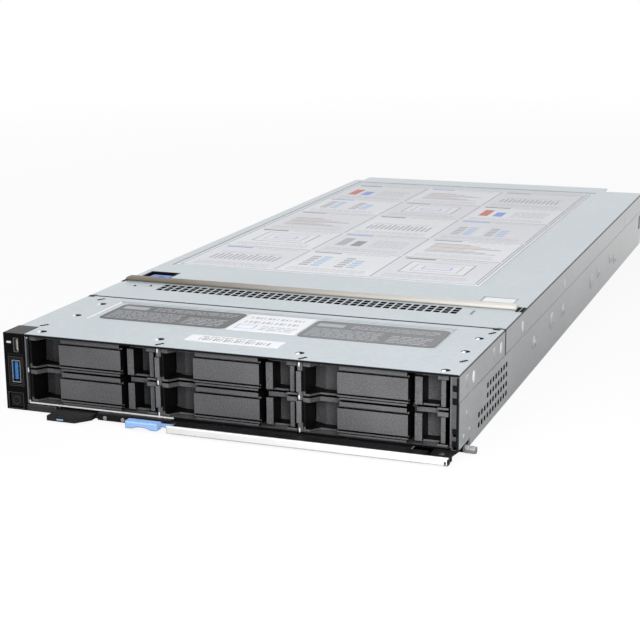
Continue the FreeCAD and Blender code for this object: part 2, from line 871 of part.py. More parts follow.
trim = group("trim")
trim_source = new_body("divider_trim", listed=False)
trim_y = front + trim.front
grip_slot = bay.wall / 2 + trim.play
pad(trim_source, "XY", bay.floor, bay.wall_top - bay.floor, [
    (-trim.width / 2, trim_y),
    (trim.width / 2, trim_y),
    (trim.width / 2, trim_y + trim.depth),
    (grip_slot, trim_y + trim.depth),
    (grip_slot, front + bay.divider_setback - trim.play),
    (-grip_slot, front + bay.divider_setback - trim.play),
    (-grip_slot, trim_y + trim.depth),
    (-trim.width / 2, trim_y + trim.depth),
])
middle = bay.floor + bay.row_pitch - trim.notch / 2
for low in (bay.floor, middle, bay.wall_top - trim.notch):
    cut(trim_source, "XZ", trim_y, trim.notch_deep,
        rectangle(-trim.width / 2, low, trim.width / 2, low + trim.notch))
copies("divider_trims", trim_source, [(x, 0, 0) for x in wall_centres[1:3]])

end_plate = group("end_plate")
right_end_plate = new_body("right_end_plate")
end_x = wall_centres[3] + bay.wall / 2 + end_plate.edge
pad(right_end_plate, "XZ", front - end_plate.thick, end_plate.thick,
    rectangle(end_x, tray.notch_tall, right - end_plate.edge, inner_top))
end_mid = (end_x + right) / 2
for height in (0, end_plate.pair, end_plate.group, end_plate.group + end_plate.pair):
    low = end_plate.low + height - end_plate.notch / 2
    cut(right_end_plate, "XZ", front - end_plate.thick, end_plate.thick,
        rectangle(end_mid - end_plate.notch / 2, low, end_mid + end_plate.notch / 2, low + end_plate.notch))

# Drive blank: a moulded insert with finger pockets, a grip plate and a sprung latch arm.
# Its own corner is the lower left of its front face.
blank = group("blank")
blank_width = bay.pitch - trim.width - blank.side_gap * 2


def rail_outline():
    return [
        (0, blank.face),
        (blank.rail_left, blank.face),
        (blank.rail_left + blank.step_slope, blank.step_rail),
        (blank.grip_left + blank.rail_inset, blank.step_rail),
        (blank.grip_left + blank.rail_inset, blank.rail_face),
        (blank.grip_right - blank.rail_inset, blank.rail_face),
        (blank.grip_right - blank.rail_inset, blank.pocket_floor),
        (blank.slit_end, blank.pocket_floor),
        (blank.slit_end, blank.step_rail),
        (blank.cavity_end, blank.step_rail),
        (blank.cavity_end, blank.end_rail),
        (blank_width, blank.end_rail),
        (blank_width, blank.back),
        (0, blank.back),
    ]


def core_outline():
    return [
        (0, blank.face),
        (blank.stile, blank.face),
        (blank.stile, blank.scoop),
        (blank.pocket_end, blank.pocket_floor),
        (blank.grip_left, blank.pocket_floor),
        (blank.grip_left, blank.grip_face),
        (blank.grip_right, blank.grip_face),
        (blank.grip_right, blank.pocket_floor),
        (blank.slit_end, blank.pocket_floor),
        (blank.slit_end, blank.post_face),
        (blank.post_end, blank.post_face),
        (blank.post_end, blank.cavity_floor),
        (blank.cavity_end, blank.cavity_floor),
        (blank.cavity_end, blank.back),
        (0, blank.back),
    ]


blank_source = new_body("drive_blank", listed=False)
pad(blank_source, "XY", 0, blank.sill, rail_outline())
pad(blank_source, "XY", blank.sill, blank.lintel - blank.sill, core_outline())
pad(blank_source, "XY", blank.lintel, blank.height - blank.lintel, rail_outline())
groove_lows = (blank.sill, blank.sill + blank.rib_groove + blank.rib, blank.lintel - blank.groove)
groove_talls = (blank.rib_groove, blank.groove, blank.groove)
cut(blank_source, "XZ", blank.grip_face, blank.groove_deep,
    *[rectangle(blank.grip_left, low, blank.grip_right, low + tall)
      for low, tall in zip(groove_lows, groove_talls)])
arm_x = blank.cavity_end - blank.arm
pad(blank_source, "XY", blank.sill, blank.lintel - blank.sill,
    rectangle(0, blank.back, blank.arm, blank.arm_back),
    rectangle(arm_x, blank.back, blank.cavity_end, blank.arm_back))
pad(blank_source, "XY", blank.sill, blank.lintel - blank.sill,
    rectangle(blank.arm, blank.arm_back - blank.web, arm_x, blank.arm_back))
pad(blank_source, "XY", blank.sill, blank.lintel - blank.sill,
    rectangle(blank.cavity_end, blank.boss_front, blank_width, blank.boss_back))

catch = group("catch")
latch_source = new_body("drive_latch", listed=False)
catch_left = blank.cavity_end + catch.left
catch_right = blank_width - catch.right
arm_start = catch.face + catch.thumb + catch.taper
catch_root = blank.boss_front - catch.root_gap
pad(latch_source, "XY", blank.sill + catch.gap, blank.lintel - blank.sill - catch.gap * 2, [
    (catch_left, catch.face),
    (catch_right, catch.face),
    (catch_right, catch.face + catch.thumb),
    (catch_right - catch.arm_right, arm_start),
    (catch_right - catch.arm_right, catch_root),
    (catch_left + catch.arm_left, catch_root),
    (catch_left + catch.arm_left, arm_start),
    (catch_left, catch.face + catch.thumb),
])
bay_places = [(column, row) for row in (1, 0) for column in range(3)]
for number, (column, row) in enumerate(bay_places, 1):
    corner_x = wall_centres[column] + trim.width / 2 + blank.side_gap
    corner_z = bay.floor + blank.seat + bay.row_pitch * row
    placed_copy(f"drive_blank_{number}", blank_source, corner_x, front, corner_z)
    placed_copy(f"drive_latch_{number}", latch_source, corner_x, front, corner_z)

# Backplane behind the cage, with one connector for each bay
backplane = group("backplane")
backplane_y = cage_front + bay.depth
drive_backplane = new_body("drive_backplane")
pad(drive_backplane, "XZ", backplane_y, backplane.thick,
    rectangle(wall_centres[0] + backplane.margin, backplane.low,
              wall_centres[3] - backplane.margin, backplane.top))
window = cut(drive_backplane, "XZ", backplane_y, backplane.thick,
             rectangle(wall_centres[0] + backplane.vent_edge, bay.floor + backplane.vent_edge / 2,
                       wall_centres[0] + backplane.vent_edge + backplane.vent_wide,
                       bay.floor + backplane.vent_edge / 2 + backplane.vent_tall))
repeat(drive_backplane, window, bay.columns, bay.pitch, bay.rows, bay.row_pitch)
plug_source = new_body("backplane_plug", listed=False)
pad(plug_source, "XZ", backplane_y - backplane.plug_deep, backplane.plug_deep,
    rectangle(0, 0, backplane.plug_wide, backplane.plug_tall))
cut(plug_source, "XZ", backplane_y - backplane.plug_deep, backplane.plug_deep / 2,
    rectangle(backplane.margin * 2, backplane.plug_tall / 3, backplane.plug_wide - backplane.margin * 2,
              backplane.plug_tall * 2 / 3))
plug_left = bay.pitch - backplane.plug_wide - bay.ledge
plug_low = bay.floor + backplane.vent_edge / 2
copies("backplane_connectors", plug_source,
       [(wall_centres[column] + plug_left, 0, plug_low + bay.row_pitch * row)
        for column, row in bay_places])

# Ejector lever with its nose through the right wall, the grip, the bright face and the pivot
grip = group("grip")
ejector_lever = new_body("ejector_lever")
pad(ejector_lever, "XY", lever.low, lever.thick, disc(pivot_x, pivot_y, lever.eye))
pad(ejector_lever, "XY", lever.low, lever.thick,
    rectangle(left + lever.arm_start, pivot_y - lever.arm_front, pivot_x, pivot_y + lever.arm_back))
nose_y = front + lever.nose_back
nose_x = right - lever.nose_root
pad(ejector_lever, "XY", lever.low, lever.thick, [
    (pivot_x + lever.web, pivot_y),
    (nose_x + lever.web, nose_y),
    (nose_x - lever.web, nose_y),
    (pivot_x - lever.web, pivot_y),
])
pad(ejector_lever, "YZ", nose_x - lever.web, lever.nose_root + lever.web + lever.nose_reach,
    disc(nose_y, lever.nose_height, lever.nose))
cut(ejector_lever, "XY", lever.low, lever.thick, disc(pivot_x, pivot_y, lever.pin + lever.pin_play))

handle_grip = new_body("handle_grip")
pad(handle_grip, "XY", grip.low, grip.tall,
    rectangle(left + grip.left, front - grip.face, left + grip.right, front - grip.back))
cut(handle_grip, "XY", lever.low, lever.thick,
    rectangle(left + lever.arm_start, pivot_y - lever.arm_front,
              left + grip.right, pivot_y + lever.arm_back))
handle_face = new_body("handle_face")
face_y = front - grip.face - grip.face_thick
pad(handle_face, "XZ", face_y, grip.face_thick,
    rectangle(left + grip.face_left, grip.face_low, left + grip.face_right, grip.face_low + grip.face_tall))
bevel_edges(handle_face, grip.face_edge, lambda e: close(e.CenterOfMass.y, face_y))

bracket = group("bracket")
handle_bracket = new_body("handle_bracket")
pad(handle_bracket, "XY", bracket.low, cage_underside - bracket.low, disc(pivot_x, pivot_y, bracket.nose))
pad(handle_bracket, "XY", bracket.low, cage_underside - bracket.low,
    rectangle(pivot_x - bracket.nose, pivot_y, pivot_x + bracket.nose, front + bracket.back))
cut(handle_bracket, "XY", bracket.low, cage_underside - bracket.low,
    disc(pivot_x, pivot_y, lever.pin + lever.pin_play))
handle_pivot_pin = new_body("handle_pivot_pin")
head_top = lever.low - lever.pin_play * 2
pad(handle_pivot_pin, "XY", bracket.pin_foot, head_top - bracket.pin_foot,
    disc(pivot_x, pivot_y, bracket.pin_head))
pad(handle_pivot_pin, "XY", head_top, cage_underside - head_top, disc(pivot_x, pivot_y, lever.pin))

# Release tab beside the free end of the handle, on its riveted bracket
release = group("release")
release_bracket = new_body("release_bracket")
pad(release_bracket, "XY", release.plate_low, cage_underside - release.plate_low,
    rectangle(left + release.plate_left, front - release.plate_out,
              left + release.plate_right, front + release.plate_back))
lip_front = front - release.plate_out - release.lip_thick
pad(release_bracket, "XY", release.lip_low, cage_underside - release.lip_low,
    rectangle(left + release.plate_left, lip_front, left + release.lip_right, front - release.plate_out))
rivet_source = new_body("release_rivet", listed=False)
pad(rivet_source, "XZ", lip_front - release.rivet_head, release.rivet_head,
    disc(left + release.rivet_first, release.rivet_height, release.rivet))
copies("release_rivets", rivet_source, [(0, 0, 0), (release.rivet_pitch, 0, 0)])

release_tab = new_body("release_tab")
tab_y = front - release.tab_out
pad(release_tab, "XZ", tab_y, release.tab_out - release.tab_back,
    rectangle(left + release.tab_left, release.tab_low,
              left + release.tab_right, release.tab_low + release.tab_tall))
scoop_x = left + (release.tab_left + release.tab_right) / 2
cut(release_tab, "XZ", tab_y, release.tab_out - release.tab_back,
    disc(scoop_x, release.tab_low + release.scoop_deep - release.scoop, release.scoop))
pad(release_tab, "XY", release.stem_low, release.stem_tall,
    rectangle(left + release.stem_left, front - release.tab_back - release.edge,
              left + release.stem_right, front + release.stem_back))
pad(release_tab, "XY", release.stem_low, release.stem_tall,
    rectangle(left + release.stem_right, front - release.tail_front, left + release.tail_right,
              front - release.tail_back))
bevel_edges(release_tab, release.edge, lambda e: close(e.CenterOfMass.y, tab_y))

# Pull-out information tag in its guide under the cage floor
tag = group("tag")
information_tag = new_body("information_tag")
pad(information_tag, "XY", tag.low, tag.top - tag.low, [
    (left + tag.left, front - tag.out),
    (left + tag.front_right, front - tag.out),
    (left + tag.right, front - tag.shoulder),
    (left + tag.right, front + tag.back),
    (left + tag.left, front + tag.back),
])
pad(information_tag, "XY", tag.grip_low, tag.low - tag.grip_low, [
    (left + tag.left, front - tag.out),
    (left + tag.front_right, front - tag.out),
    (left + tag.right, front - tag.shoulder),
    (left + tag.right, front - tag.grip_end),
    (left + tag.left, front - tag.grip_end),
])
tag_guide = new_body("tag_guide")
guide_back = front + tag.back + tag.rail_gap
rail_inner = (left + tag.left - tag.rail_gap, left + tag.right + tag.rail_gap)
pad(tag_guide, "XY", sled.sheet, tag.rail_top - sled.sheet, [
    (rail_inner[0] - tag.rail, front + tag.rail_front),
    (rail_inner[0], front + tag.rail_front),
    (rail_inner[0], guide_back),
    (rail_inner[1], guide_back),
    (rail_inner[1], front + tag.rail_front),
    (rail_inner[1] + tag.rail, front + tag.rail_front),
    (rail_inner[1] + tag.rail, guide_back + tag.rail),
    (rail_inner[0] - tag.rail, guide_back + tag.rail),
])

# System board on its standoffs
board = group("board")
board_top = board.low + board.thick
board_left = left + board.margin
board_right = right - board.margin
board_front = front + board.front
board_back = front + board.back
system_board = new_body("system_board")
pad(system_board, "XY", board.low, board.thick, [
    (board_left + board.notch, board_front),
    (board_right - board.notch, board_front),
    (board_right - board.notch, board_front + board.notch),
    (board_right, board_front + board.notch),
    (board_right, board_back),
    (board_left, board_back),
    (board_left, board_front + board.notch),
    (board_left + board.notch, board_front + board.notch),
])
standoff_source = new_body("board_standoff", listed=False)
pad(standoff_source, "XY", sled.sheet, board.low - sled.sheet, hexagon(0, 0, board.standoff))
stand_front = board_front + board.notch + board.standoff_inset
stand_run = board_back - board.standoff_inset - stand_front
copies("board_standoffs", standoff_source,
       [(side * (board_right - board.standoff_inset), stand_front + stand_run * step / 3, 0)
        for side in (-1, 1) for step in range(4)])

# Two processors in line, each under a finned heat sink
chip = group("processor")
sink = group("heat_sink")
memory = group("memory")
zone_fronts = [front + chip.front + chip.pitch * index for index in range(2)]
zone_mids = [y + memory.socket_long / 2 for y in zone_fronts]
socket_source = new_body("processor_socket", listed=False)
pad(socket_source, "XY", board_top, chip.socket_tall,
    rectangle(-chip.socket_wide / 2, -chip.socket_long / 2, chip.socket_wide / 2, chip.socket_long / 2))
copies("processor_sockets", socket_source, [(0, y, 0) for y in zone_mids])
chip_low = board_top + chip.socket_tall
chip_source = new_body("processor", listed=False)
pad(chip_source, "XY", chip_low, chip.tall / 2,
    rectangle(-chip.wide / 2, -chip.length / 2, chip.wide / 2, chip.length / 2))
pad(chip_source, "XY", chip_low + chip.tall / 2, chip.tall / 2,
    rectangle(chip.rim - chip.wide / 2, chip.rim - chip.length / 2,
              chip.wide / 2 - chip.rim, chip.length / 2 - chip.rim))
copies("processors", chip_source, [(0, y, 0) for y in zone_mids])
sink_low = chip_low + chip.tall
sink_source = new_body("heat_sink", listed=False)
pad(sink_source, "XY", sink_low, sink.base,
    rectangle(-sink.wide / 2, -sink.length / 2, sink.wide / 2, sink.length / 2))
fin_long = sink.length - sink.ear * 2
fin = pad(sink_source, "XZ", -fin_long / 2, fin_long,
          rectangle(-sink.wide / 2, sink_low + sink.base / 2, -sink.wide / 2 + sink.fin, sink.top))
repeat(sink_source, fin, sink.fins, (sink.wide - sink.fin) / (sink.fins - 1))
for label, y in zip(("heat_sink_front", "heat_sink_rear"), zone_mids):
    placed_copy(label, sink_source, 0, y, 0)
screw_source = new_body("heat_sink_screw", listed=False)
pad(screw_source, "XY", sink_low + sink.base, sink.base, hexagon(0, 0, sink.screw))
screw_x = sink.wide / 2 - sink.screw_inset
screw_y = sink.length / 2 - sink.screw_inset
copies("heat_sink_screws", screw_source,
       [(across * screw_x, y + along * screw_y, 0)
        for y in zone_mids for across in (-1, 1) for along in (-1, 1)])

# Memory sockets, modules and the rows of latches at the ends of the sockets
bank_columns = [side * (memory.first + memory.pitch * index)
                for side in (-1, 1) for index in range(int(memory.per_bank.value))]
half_socket = memory.socket_long / 2
dimm_socket = new_body("memory_socket", listed=False)
pad(dimm_socket, "XY", board_top, memory.socket_tall,
    rectangle(-memory.socket_wide / 2, -half_socket, memory.socket_wide / 2, half_socket))
module_low = board_top + memory.socket_tall - memory.slot_deep + memory.seat
half_module = memory.module_long / 2
tower_inner = half_module + memory.seat
pad(dimm_socket, "XY", board_top, memory.tower_top - board_top,
    rectangle(-memory.socket_wide / 2, -half_socket, memory.socket_wide / 2, -tower_inner),
    rectangle(-memory.socket_wide / 2, tower_inner, memory.socket_wide / 2, half_socket))
cut(dimm_socket, "XY", board_top + memory.socket_tall - memory.slot_deep, memory.tower_top,
    rectangle(-memory.slot / 2, -tower_inner, memory.slot / 2, tower_inner))
cut(dimm_socket, "XY", board_top + memory.slot_deep, memory.tower_top,
    rectangle(-memory.latch_slot / 2, -half_socket, memory.latch_slot / 2, -tower_inner),
    rectangle(-memory.latch_slot / 2, tower_inner, memory.latch_slot / 2, half_socket))
copies("memory_sockets", dimm_socket, [(x, y, 0) for y in zone_mids for x in bank_columns])
dimm = new_body("memory_module", listed=False)
pad(dimm, "YZ", -memory.module_thick / 2, memory.module_thick,
    rectangle(-half_module, module_low, half_module, module_low + memory.module_tall))
pad(dimm, "YZ", -memory.module_thick / 2 - memory.chip_thick, memory.module_thick + memory.chip_thick * 2,
    rectangle(-memory.chip_long / 2, module_low + memory.chip_low, memory.chip_long / 2,
              module_low + memory.chip_low + memory.chip_tall))
copies("memory_modules", dimm, [(x, y, 0) for y in zone_mids for x in bank_columns])
dimm_latch = new_body("memory_latch", listed=False)
latch_low = board_top + memory.slot_deep + memory.seat
latch_inner = half_module + memory.seat * 3
latch_outer = half_socket - memory.seat
latch_foot = (latch_outer - latch_inner) / 2
latch_axis_y = latch_inner + latch_foot
latch_axis_z = latch_low + latch_foot
pad(dimm_latch, "YZ", -memory.latch_thick / 2, memory.latch_thick, [
    (latch_inner, latch_axis_z),
    (latch_axis_y - memory.latch_toe, latch_axis_z - memory.latch_drop),
    (latch_axis_y + memory.latch_toe, latch_axis_z - memory.latch_drop),
    (latch_outer, latch_axis_z),
    (latch_outer, memory.tower_top),
    (half_socket + memory.latch_back, memory.latch_top),
    (latch_inner, memory.latch_top),
])
latch_front = doc.addObject("Part::Mirroring", "memory_latch_front")
latch_front.Source = dimm_latch
latch_front.Normal = FreeCAD.Vector(0, 1, 0)
latch_rows = [(y, piece) for y in zone_mids for piece in (latch_front, dimm_latch)]
for number, (y, piece) in enumerate(latch_rows, 1):
    copies(f"memory_latches_{number}", piece, [(x, y, 0) for x in bank_columns])

# Cards and cells on the system board
card = group("card")


def raised_card(label, x_range, y_range, low, listed=True):
    body = new_body(label, listed)
    x_mid = (x_range[0] + x_range[1]) / 2
    y_mid = (y_range[0] + y_range[1]) / 2
    pad(body, "XY", low, card.thick, rectangle(x_range[0], y_range[0], x_range[1], y_range[1]))
    pad(body, "XY", board_top, low - board_top,
        rectangle(x_mid - card.plug_long / 2, y_mid - card.plug_wide / 2,
                  x_mid + card.plug_long / 2, y_mid + card.plug_wide / 2))
    return body, x_mid, y_mid


storage_controller, mid_x, mid_y = raised_card(
    "storage_controller", (left + card.controller_left, left + card.controller_right),
    (front + card.controller_front, front + card.controller_back), card.controller_low)
fin_rib = pad(storage_controller, "XY", card.controller_low + card.thick, card.chip_tall,
              rectangle(mid_x - card.chip / 2, mid_y - card.chip / 2,
                        mid_x - card.chip / 2 + card.thick, mid_y + card.chip / 2))
repeat(storage_controller, fin_rib, card.ribs, (card.chip - card.thick) / (card.ribs - 1))
boot_module, mid_x, mid_y = raised_card(
    "boot_module", (left + card.boot_left, left + card.boot_right),
    (front + card.boot_front, front + card.boot_back), card.boot_low)
pad(boot_module, "XY", card.boot_low + card.thick, card.stick_tall,
    rectangle(left + card.boot_left + card.stick_tall, mid_y - card.stick / 2,
              left + card.boot_right - card.stick_tall, mid_y + card.stick / 2))
mezzanine, mid_x, mid_y = raised_card(
    "mezzanine_card", (-card.mezz_wide / 2, card.mezz_wide / 2),
    (front + card.mezz_front, front + card.mezz_back), card.mezz_low, listed=False)
mezz_rib = pad(mezzanine, "XY", card.mezz_low + card.thick, card.chip_tall,
               rectangle(mid_x - card.chip / 2, mid_y - card.chip / 2,
                         mid_x - card.chip / 2 + card.thick, mid_y + card.chip / 2))
repeat(mezzanine, mezz_rib, card.ribs, (card.chip - card.thick) / (card.ribs - 1))
copies("mezzanine_cards", mezzanine, [(-card.mezz_centre, 0, 0), (card.mezz_centre, 0, 0)])

# Rear connectors: one on each mezzanine card, and the power connector with its guide sockets on the board
plug = group("rear_plug")
fabric_source = new_body("fabric_connector", listed=False)
pad(fabric_source, "XY", card.mezz_low + card.thick, plug.tall,
    rectangle(-plug.wide / 2, front + plug.front, plug.wide / 2, front + plug.back))
wafer_pitch = plug.wide / plug.wafers
wafer_x = (wafer_pitch - plug.wide) / 2
wafer = cut(fabric_source, "XZ", front + plug.back - plug.wafer_deep, plug.wafer_deep,
            rectangle(wafer_x - plug.wafer / 2, card.mezz_low + card.thick + plug.wafer,
                      wafer_x + plug.wafer / 2, card.mezz_low + card.thick + plug.tall - plug.wafer))
repeat(fabric_source, wafer, plug.wafers, wafer_pitch)
copies("fabric_connectors", fabric_source, [(-card.mezz_centre, 0, 0), (card.mezz_centre, 0, 0)])

power_connector = new_body("power_connector")
half_power = plug.power_wide / 2 - plug.guide
power_y = front + plug.power_front
power_long = plug.power_back - plug.power_front
pad(power_connector, "XY", board_top, plug.power_tall,
    rectangle(-half_power, power_y, half_power, power_y + power_long))
guide_z = board_top + plug.power_tall / 2
blade_slot = cut(power_connector, "XZ", front + plug.power_back - plug.blade_deep, plug.blade_deep,
                 rectangle(-half_power + plug.blade / 2, guide_z - plug.blade_tall / 2,
                           -half_power + plug.blade, guide_z + plug.blade_tall / 2))
repeat(power_connector, blade_slot, plug.blades, (half_power * 2 - plug.blade * 3 / 2) / (plug.blades - 1))
guide_source = new_body("guide_socket", listed=False)
pad(guide_source, "XY", board_top, plug.power_tall,
    rectangle(-plug.guide / 2, power_y, plug.guide / 2, power_y + power_long))
cut(guide_source, "XZ", front + plug.power_back - plug.guide_deep, plug.guide_deep,
    disc(0, guide_z, plug.guide_bore))
guide_x = half_power + plug.guide / 2
copies("guide_sockets", guide_source, [(-guide_x, 0, 0), (guide_x, 0, 0)])

cell = group("cell")
cell_y = front + cell.y
pad(system_board, "XY", board_top, cell.floor,
    rectangle(-cell.holder, cell_y - cell.holder, cell.holder, cell_y + cell.holder))
clip = cell.radius + cell.play
pad(system_board, "XY", board_top, cell.holder_tall,
    rectangle(-cell.holder, cell_y - cell.holder, -clip, cell_y + cell.holder),
    rectangle(clip, cell_y - cell.holder, cell.holder, cell_y + cell.holder))
coin_cell = new_body("coin_cell")
pad(coin_cell, "XY", board_top + cell.floor, cell.tall, disc(0, cell_y, cell.radius))

# Rear panel: a plate on each side of the power connector, with a window for the fabric connector
back_panel = group("rear_panel")
right_plate = new_body("rear_panel_right", listed=False)
panel_y = rear - back_panel.inset
inner_right = right - joggle - sled.sheet
play = back_panel.window_play
pad(right_plate, "XZ", panel_y, sled.sheet,
    rectangle(plug.power_wide / 2 + play, sled.sheet, inner_right - sled.gap, back_panel.top))
window_low = card.mezz_low + card.thick - play
cut(right_plate, "XZ", panel_y, sled.sheet,
    rectangle(card.mezz_centre - plug.wide / 2 - play, window_low,
              card.mezz_centre + plug.wide / 2 + play, window_low + plug.tall + play * 2))
left_plate = doc.addObject("Part::Mirroring", "rear_panel_left")
left_plate.Source = right_plate
left_plate.Normal = FreeCAD.Vector(1, 0, 0)
rear_panel = doc.addObject("Part::Compound", "rear_panel")
rear_panel.Links = [right_plate, left_plate]
nodes.append(rear_panel)

doc.recompute()
for item in doc.Objects:
    if "Invalid" in item.State or "Error" in item.State:
        raise RuntimeError(f"{item.Name} failed: {item.State}")
    if item.TypeId == "PartDesign::Pocket" and item.Shape.Volume >= item.BaseFeature.Shape.Volume:
        raise RuntimeError(f"{item.Name} cuts nothing")
for item in nodes:
    if item.Shape.isNull() or not item.Shape.isValid():
        raise RuntimeError(f"{item.Label} has no valid shape")
os.makedirs("parts", exist_ok=True)
for item in nodes:
    item.Shape.exportStep(f"parts/{item.Label}.step")
print(len(nodes), "nodes,", sum(len(item.Shape.Solids) for item in nodes), "solids")
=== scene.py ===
import json
import math
import random

import bmesh
import bpy
from mathutils import Euler, Matrix, Vector


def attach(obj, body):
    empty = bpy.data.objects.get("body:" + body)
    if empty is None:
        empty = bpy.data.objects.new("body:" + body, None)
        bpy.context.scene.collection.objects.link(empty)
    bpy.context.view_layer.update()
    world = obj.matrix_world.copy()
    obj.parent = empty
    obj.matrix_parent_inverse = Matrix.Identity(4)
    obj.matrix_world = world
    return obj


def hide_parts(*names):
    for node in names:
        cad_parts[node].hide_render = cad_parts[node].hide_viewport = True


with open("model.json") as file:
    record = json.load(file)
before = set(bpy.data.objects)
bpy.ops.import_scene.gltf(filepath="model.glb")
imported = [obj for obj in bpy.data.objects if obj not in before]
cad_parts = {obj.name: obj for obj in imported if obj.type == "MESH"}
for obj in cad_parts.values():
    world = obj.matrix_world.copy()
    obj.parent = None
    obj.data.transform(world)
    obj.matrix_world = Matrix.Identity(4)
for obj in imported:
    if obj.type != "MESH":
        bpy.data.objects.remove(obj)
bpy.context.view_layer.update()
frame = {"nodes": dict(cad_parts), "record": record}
print("frame loaded:", len(frame["nodes"]), "nodes")

# the sled is 250.2 mm wide and 565 mm deep; places below are mm from its left, front and bottom
sled = {"width": 250.2, "depth": 565.0, "top": 42.15}


def place(x, d, z):
    return Vector(((x - sled["width"] / 2) / 1000, (d - sled["depth"] / 2) / 1000, z / 1000))


# camera

view = {"spot": (0.29713, -0.92246, 0.23514), "yaw": 20.741, "pitch": 14.09, "roll": -0.472, "lens": 81.944,
        "sensor": 36, "near": 0.01}


def setCamera():
    data = bpy.data.cameras.new("camera")
    data.lens = view["lens"]
    data.sensor_width = view["sensor"]
    data.clip_start = view["near"]
    aim = Euler((math.radians(90 - view["pitch"]), 0, math.radians(view["yaw"]))).to_matrix()
    aim = aim @ Matrix.Rotation(math.radians(view["roll"]), 3, "Z")
    camera = bpy.data.objects.new("camera", data)
    camera.location = view["spot"]
    camera.rotation_euler = aim.to_euler()
    bpy.context.scene.collection.objects.link(camera)
    bpy.context.scene.camera = camera


class Wire:  # a node's output that takes part in Python sums
    def __init__(self, finish, socket):
        self.finish = finish
        self.socket = socket

    def sum(self, operation, first, second):
        return self.finish.add("ShaderNodeMath", {"operation": operation}, {0: first, 1: second})

    def __add__(self, other):
        return self.sum("ADD", self, other)

    def __radd__(self, other):
        return self.sum("ADD", other, self)

    def __sub__(self, other):
        return self.sum("SUBTRACT", self, other)

    def __rsub__(self, other):
        return self.sum("SUBTRACT", other, self)

    def __mul__(self, other):
        return self.sum("MULTIPLY", self, other)

    def __rmul__(self, other):
        return self.sum("MULTIPLY", other, self)

    def __gt__(self, other):
        return self.sum("GREATER_THAN", self, other)

    def __lt__(self, other):
        return self.sum("LESS_THAN", self, other)

    def fraction(self):
        return self.finish.add("ShaderNodeMath", {"operation": "FRACT"}, {0: self})

    def size(self):  # without its sign
        return self.finish.add("ShaderNodeMath", {"operation": "ABSOLUTE"}, {0: self})


bevelLook = {"samples": 4, "edgeMark": (0.02, 0.22)}


class Finish:  # the nodes of one material, or of the owner that is given
    def __init__(self, name, owner=None):
        self.owner = owner or bpy.data.materials.new(name)
        self.owner.use_nodes = True
        self.tree = self.owner.node_tree
        self.tree.nodes.clear()

    def add(self, kind, settings=None, inputs=None, out=0):
        node = self.tree.nodes.new(kind)
        for key, value in (settings or {}).items():
            setattr(node, key, value)
        for key, value in (inputs or {}).items():
            if isinstance(value, Wire):
                self.tree.links.new(value.socket, node.inputs[key])
            else:
                node.inputs[key].default_value = value
        return Wire(self, node.outputs[out]) if len(node.outputs) else None

    def spot(self, scale=(1, 1, 1)):
        where = self.add("ShaderNodeTexCoord", out="Object")
        return self.add("ShaderNodeMapping", inputs={"Vector": where, "Scale": scale})

    def axes(self):
        where = self.add("ShaderNodeTexCoord", out="Object")
        return [self.add("ShaderNodeSeparateXYZ", inputs={"Vector": where}, out=axis) for axis in "XYZ"]

    def facing(self, axis):
        normal = self.add("ShaderNodeNewGeometry", out="Normal")
        return self.add("ShaderNodeSeparateXYZ", inputs={"Vector": normal}, out=axis)

    def rays(self):
        kinds = ("Is Camera Ray", "Is Glossy Ray", "Is Transmission Ray")
        return [self.add("ShaderNodeLightPath", out=kind) for kind in kinds]

    def noise(self, scale, stretch=(1, 1, 1), detail=3.0, roughness=0.55):
        inputs = {"Vector": self.spot(stretch), "Scale": scale, "Detail": detail, "Roughness": roughness}
        return self.add("ShaderNodeTexNoise", inputs=inputs)

    def ramp(self, value, low, high):
        inputs = {"Value": value, "From Min": low, "From Max": high}
        return self.add("ShaderNodeMapRange", {"clamp": True}, inputs)

    def mix(self, share, first, second):
        return self.add("ShaderNodeMix", {"data_type": "RGBA"}, {0: share, 6: first, 7: second}, out=2)

    def rounded(self, radius):
        return self.add("ShaderNodeBevel", {"samples": bevelLook["samples"]}, {"Radius": radius})

    def edges(self, radius):  # 1 on an edge, 0 on a flat face; edges take wear, and on the zinc sheets painted shade
        soft = self.rounded(radius)
        flat = self.add("ShaderNodeNewGeometry", out="Normal")
        same = self.add("ShaderNodeVectorMath", {"operation": "DOT_PRODUCT"}, {0: soft, 1: flat}, out="Value")
        return self.ramp(1 - same, *bevelLook["edgeMark"])

    def bump(self, height, strength, distance, radius=None):
        inputs = {"Height": height, "Strength": strength, "Distance": distance}
        if radius:
            inputs["Normal"] = self.rounded(radius)
        return self.add("ShaderNodeBump", inputs=inputs)

    def surface(self, **inputs):
        named = {key.replace("_", " "): value for key, value in inputs.items()}
        shader = self.add("ShaderNodeBsdfPrincipled", inputs=named)
        self.add("ShaderNodeOutputMaterial", inputs={"Surface": shader})
        return self.owner


def grey(level):
    return (level, level, level, 1)


# sheet metal and bright metal

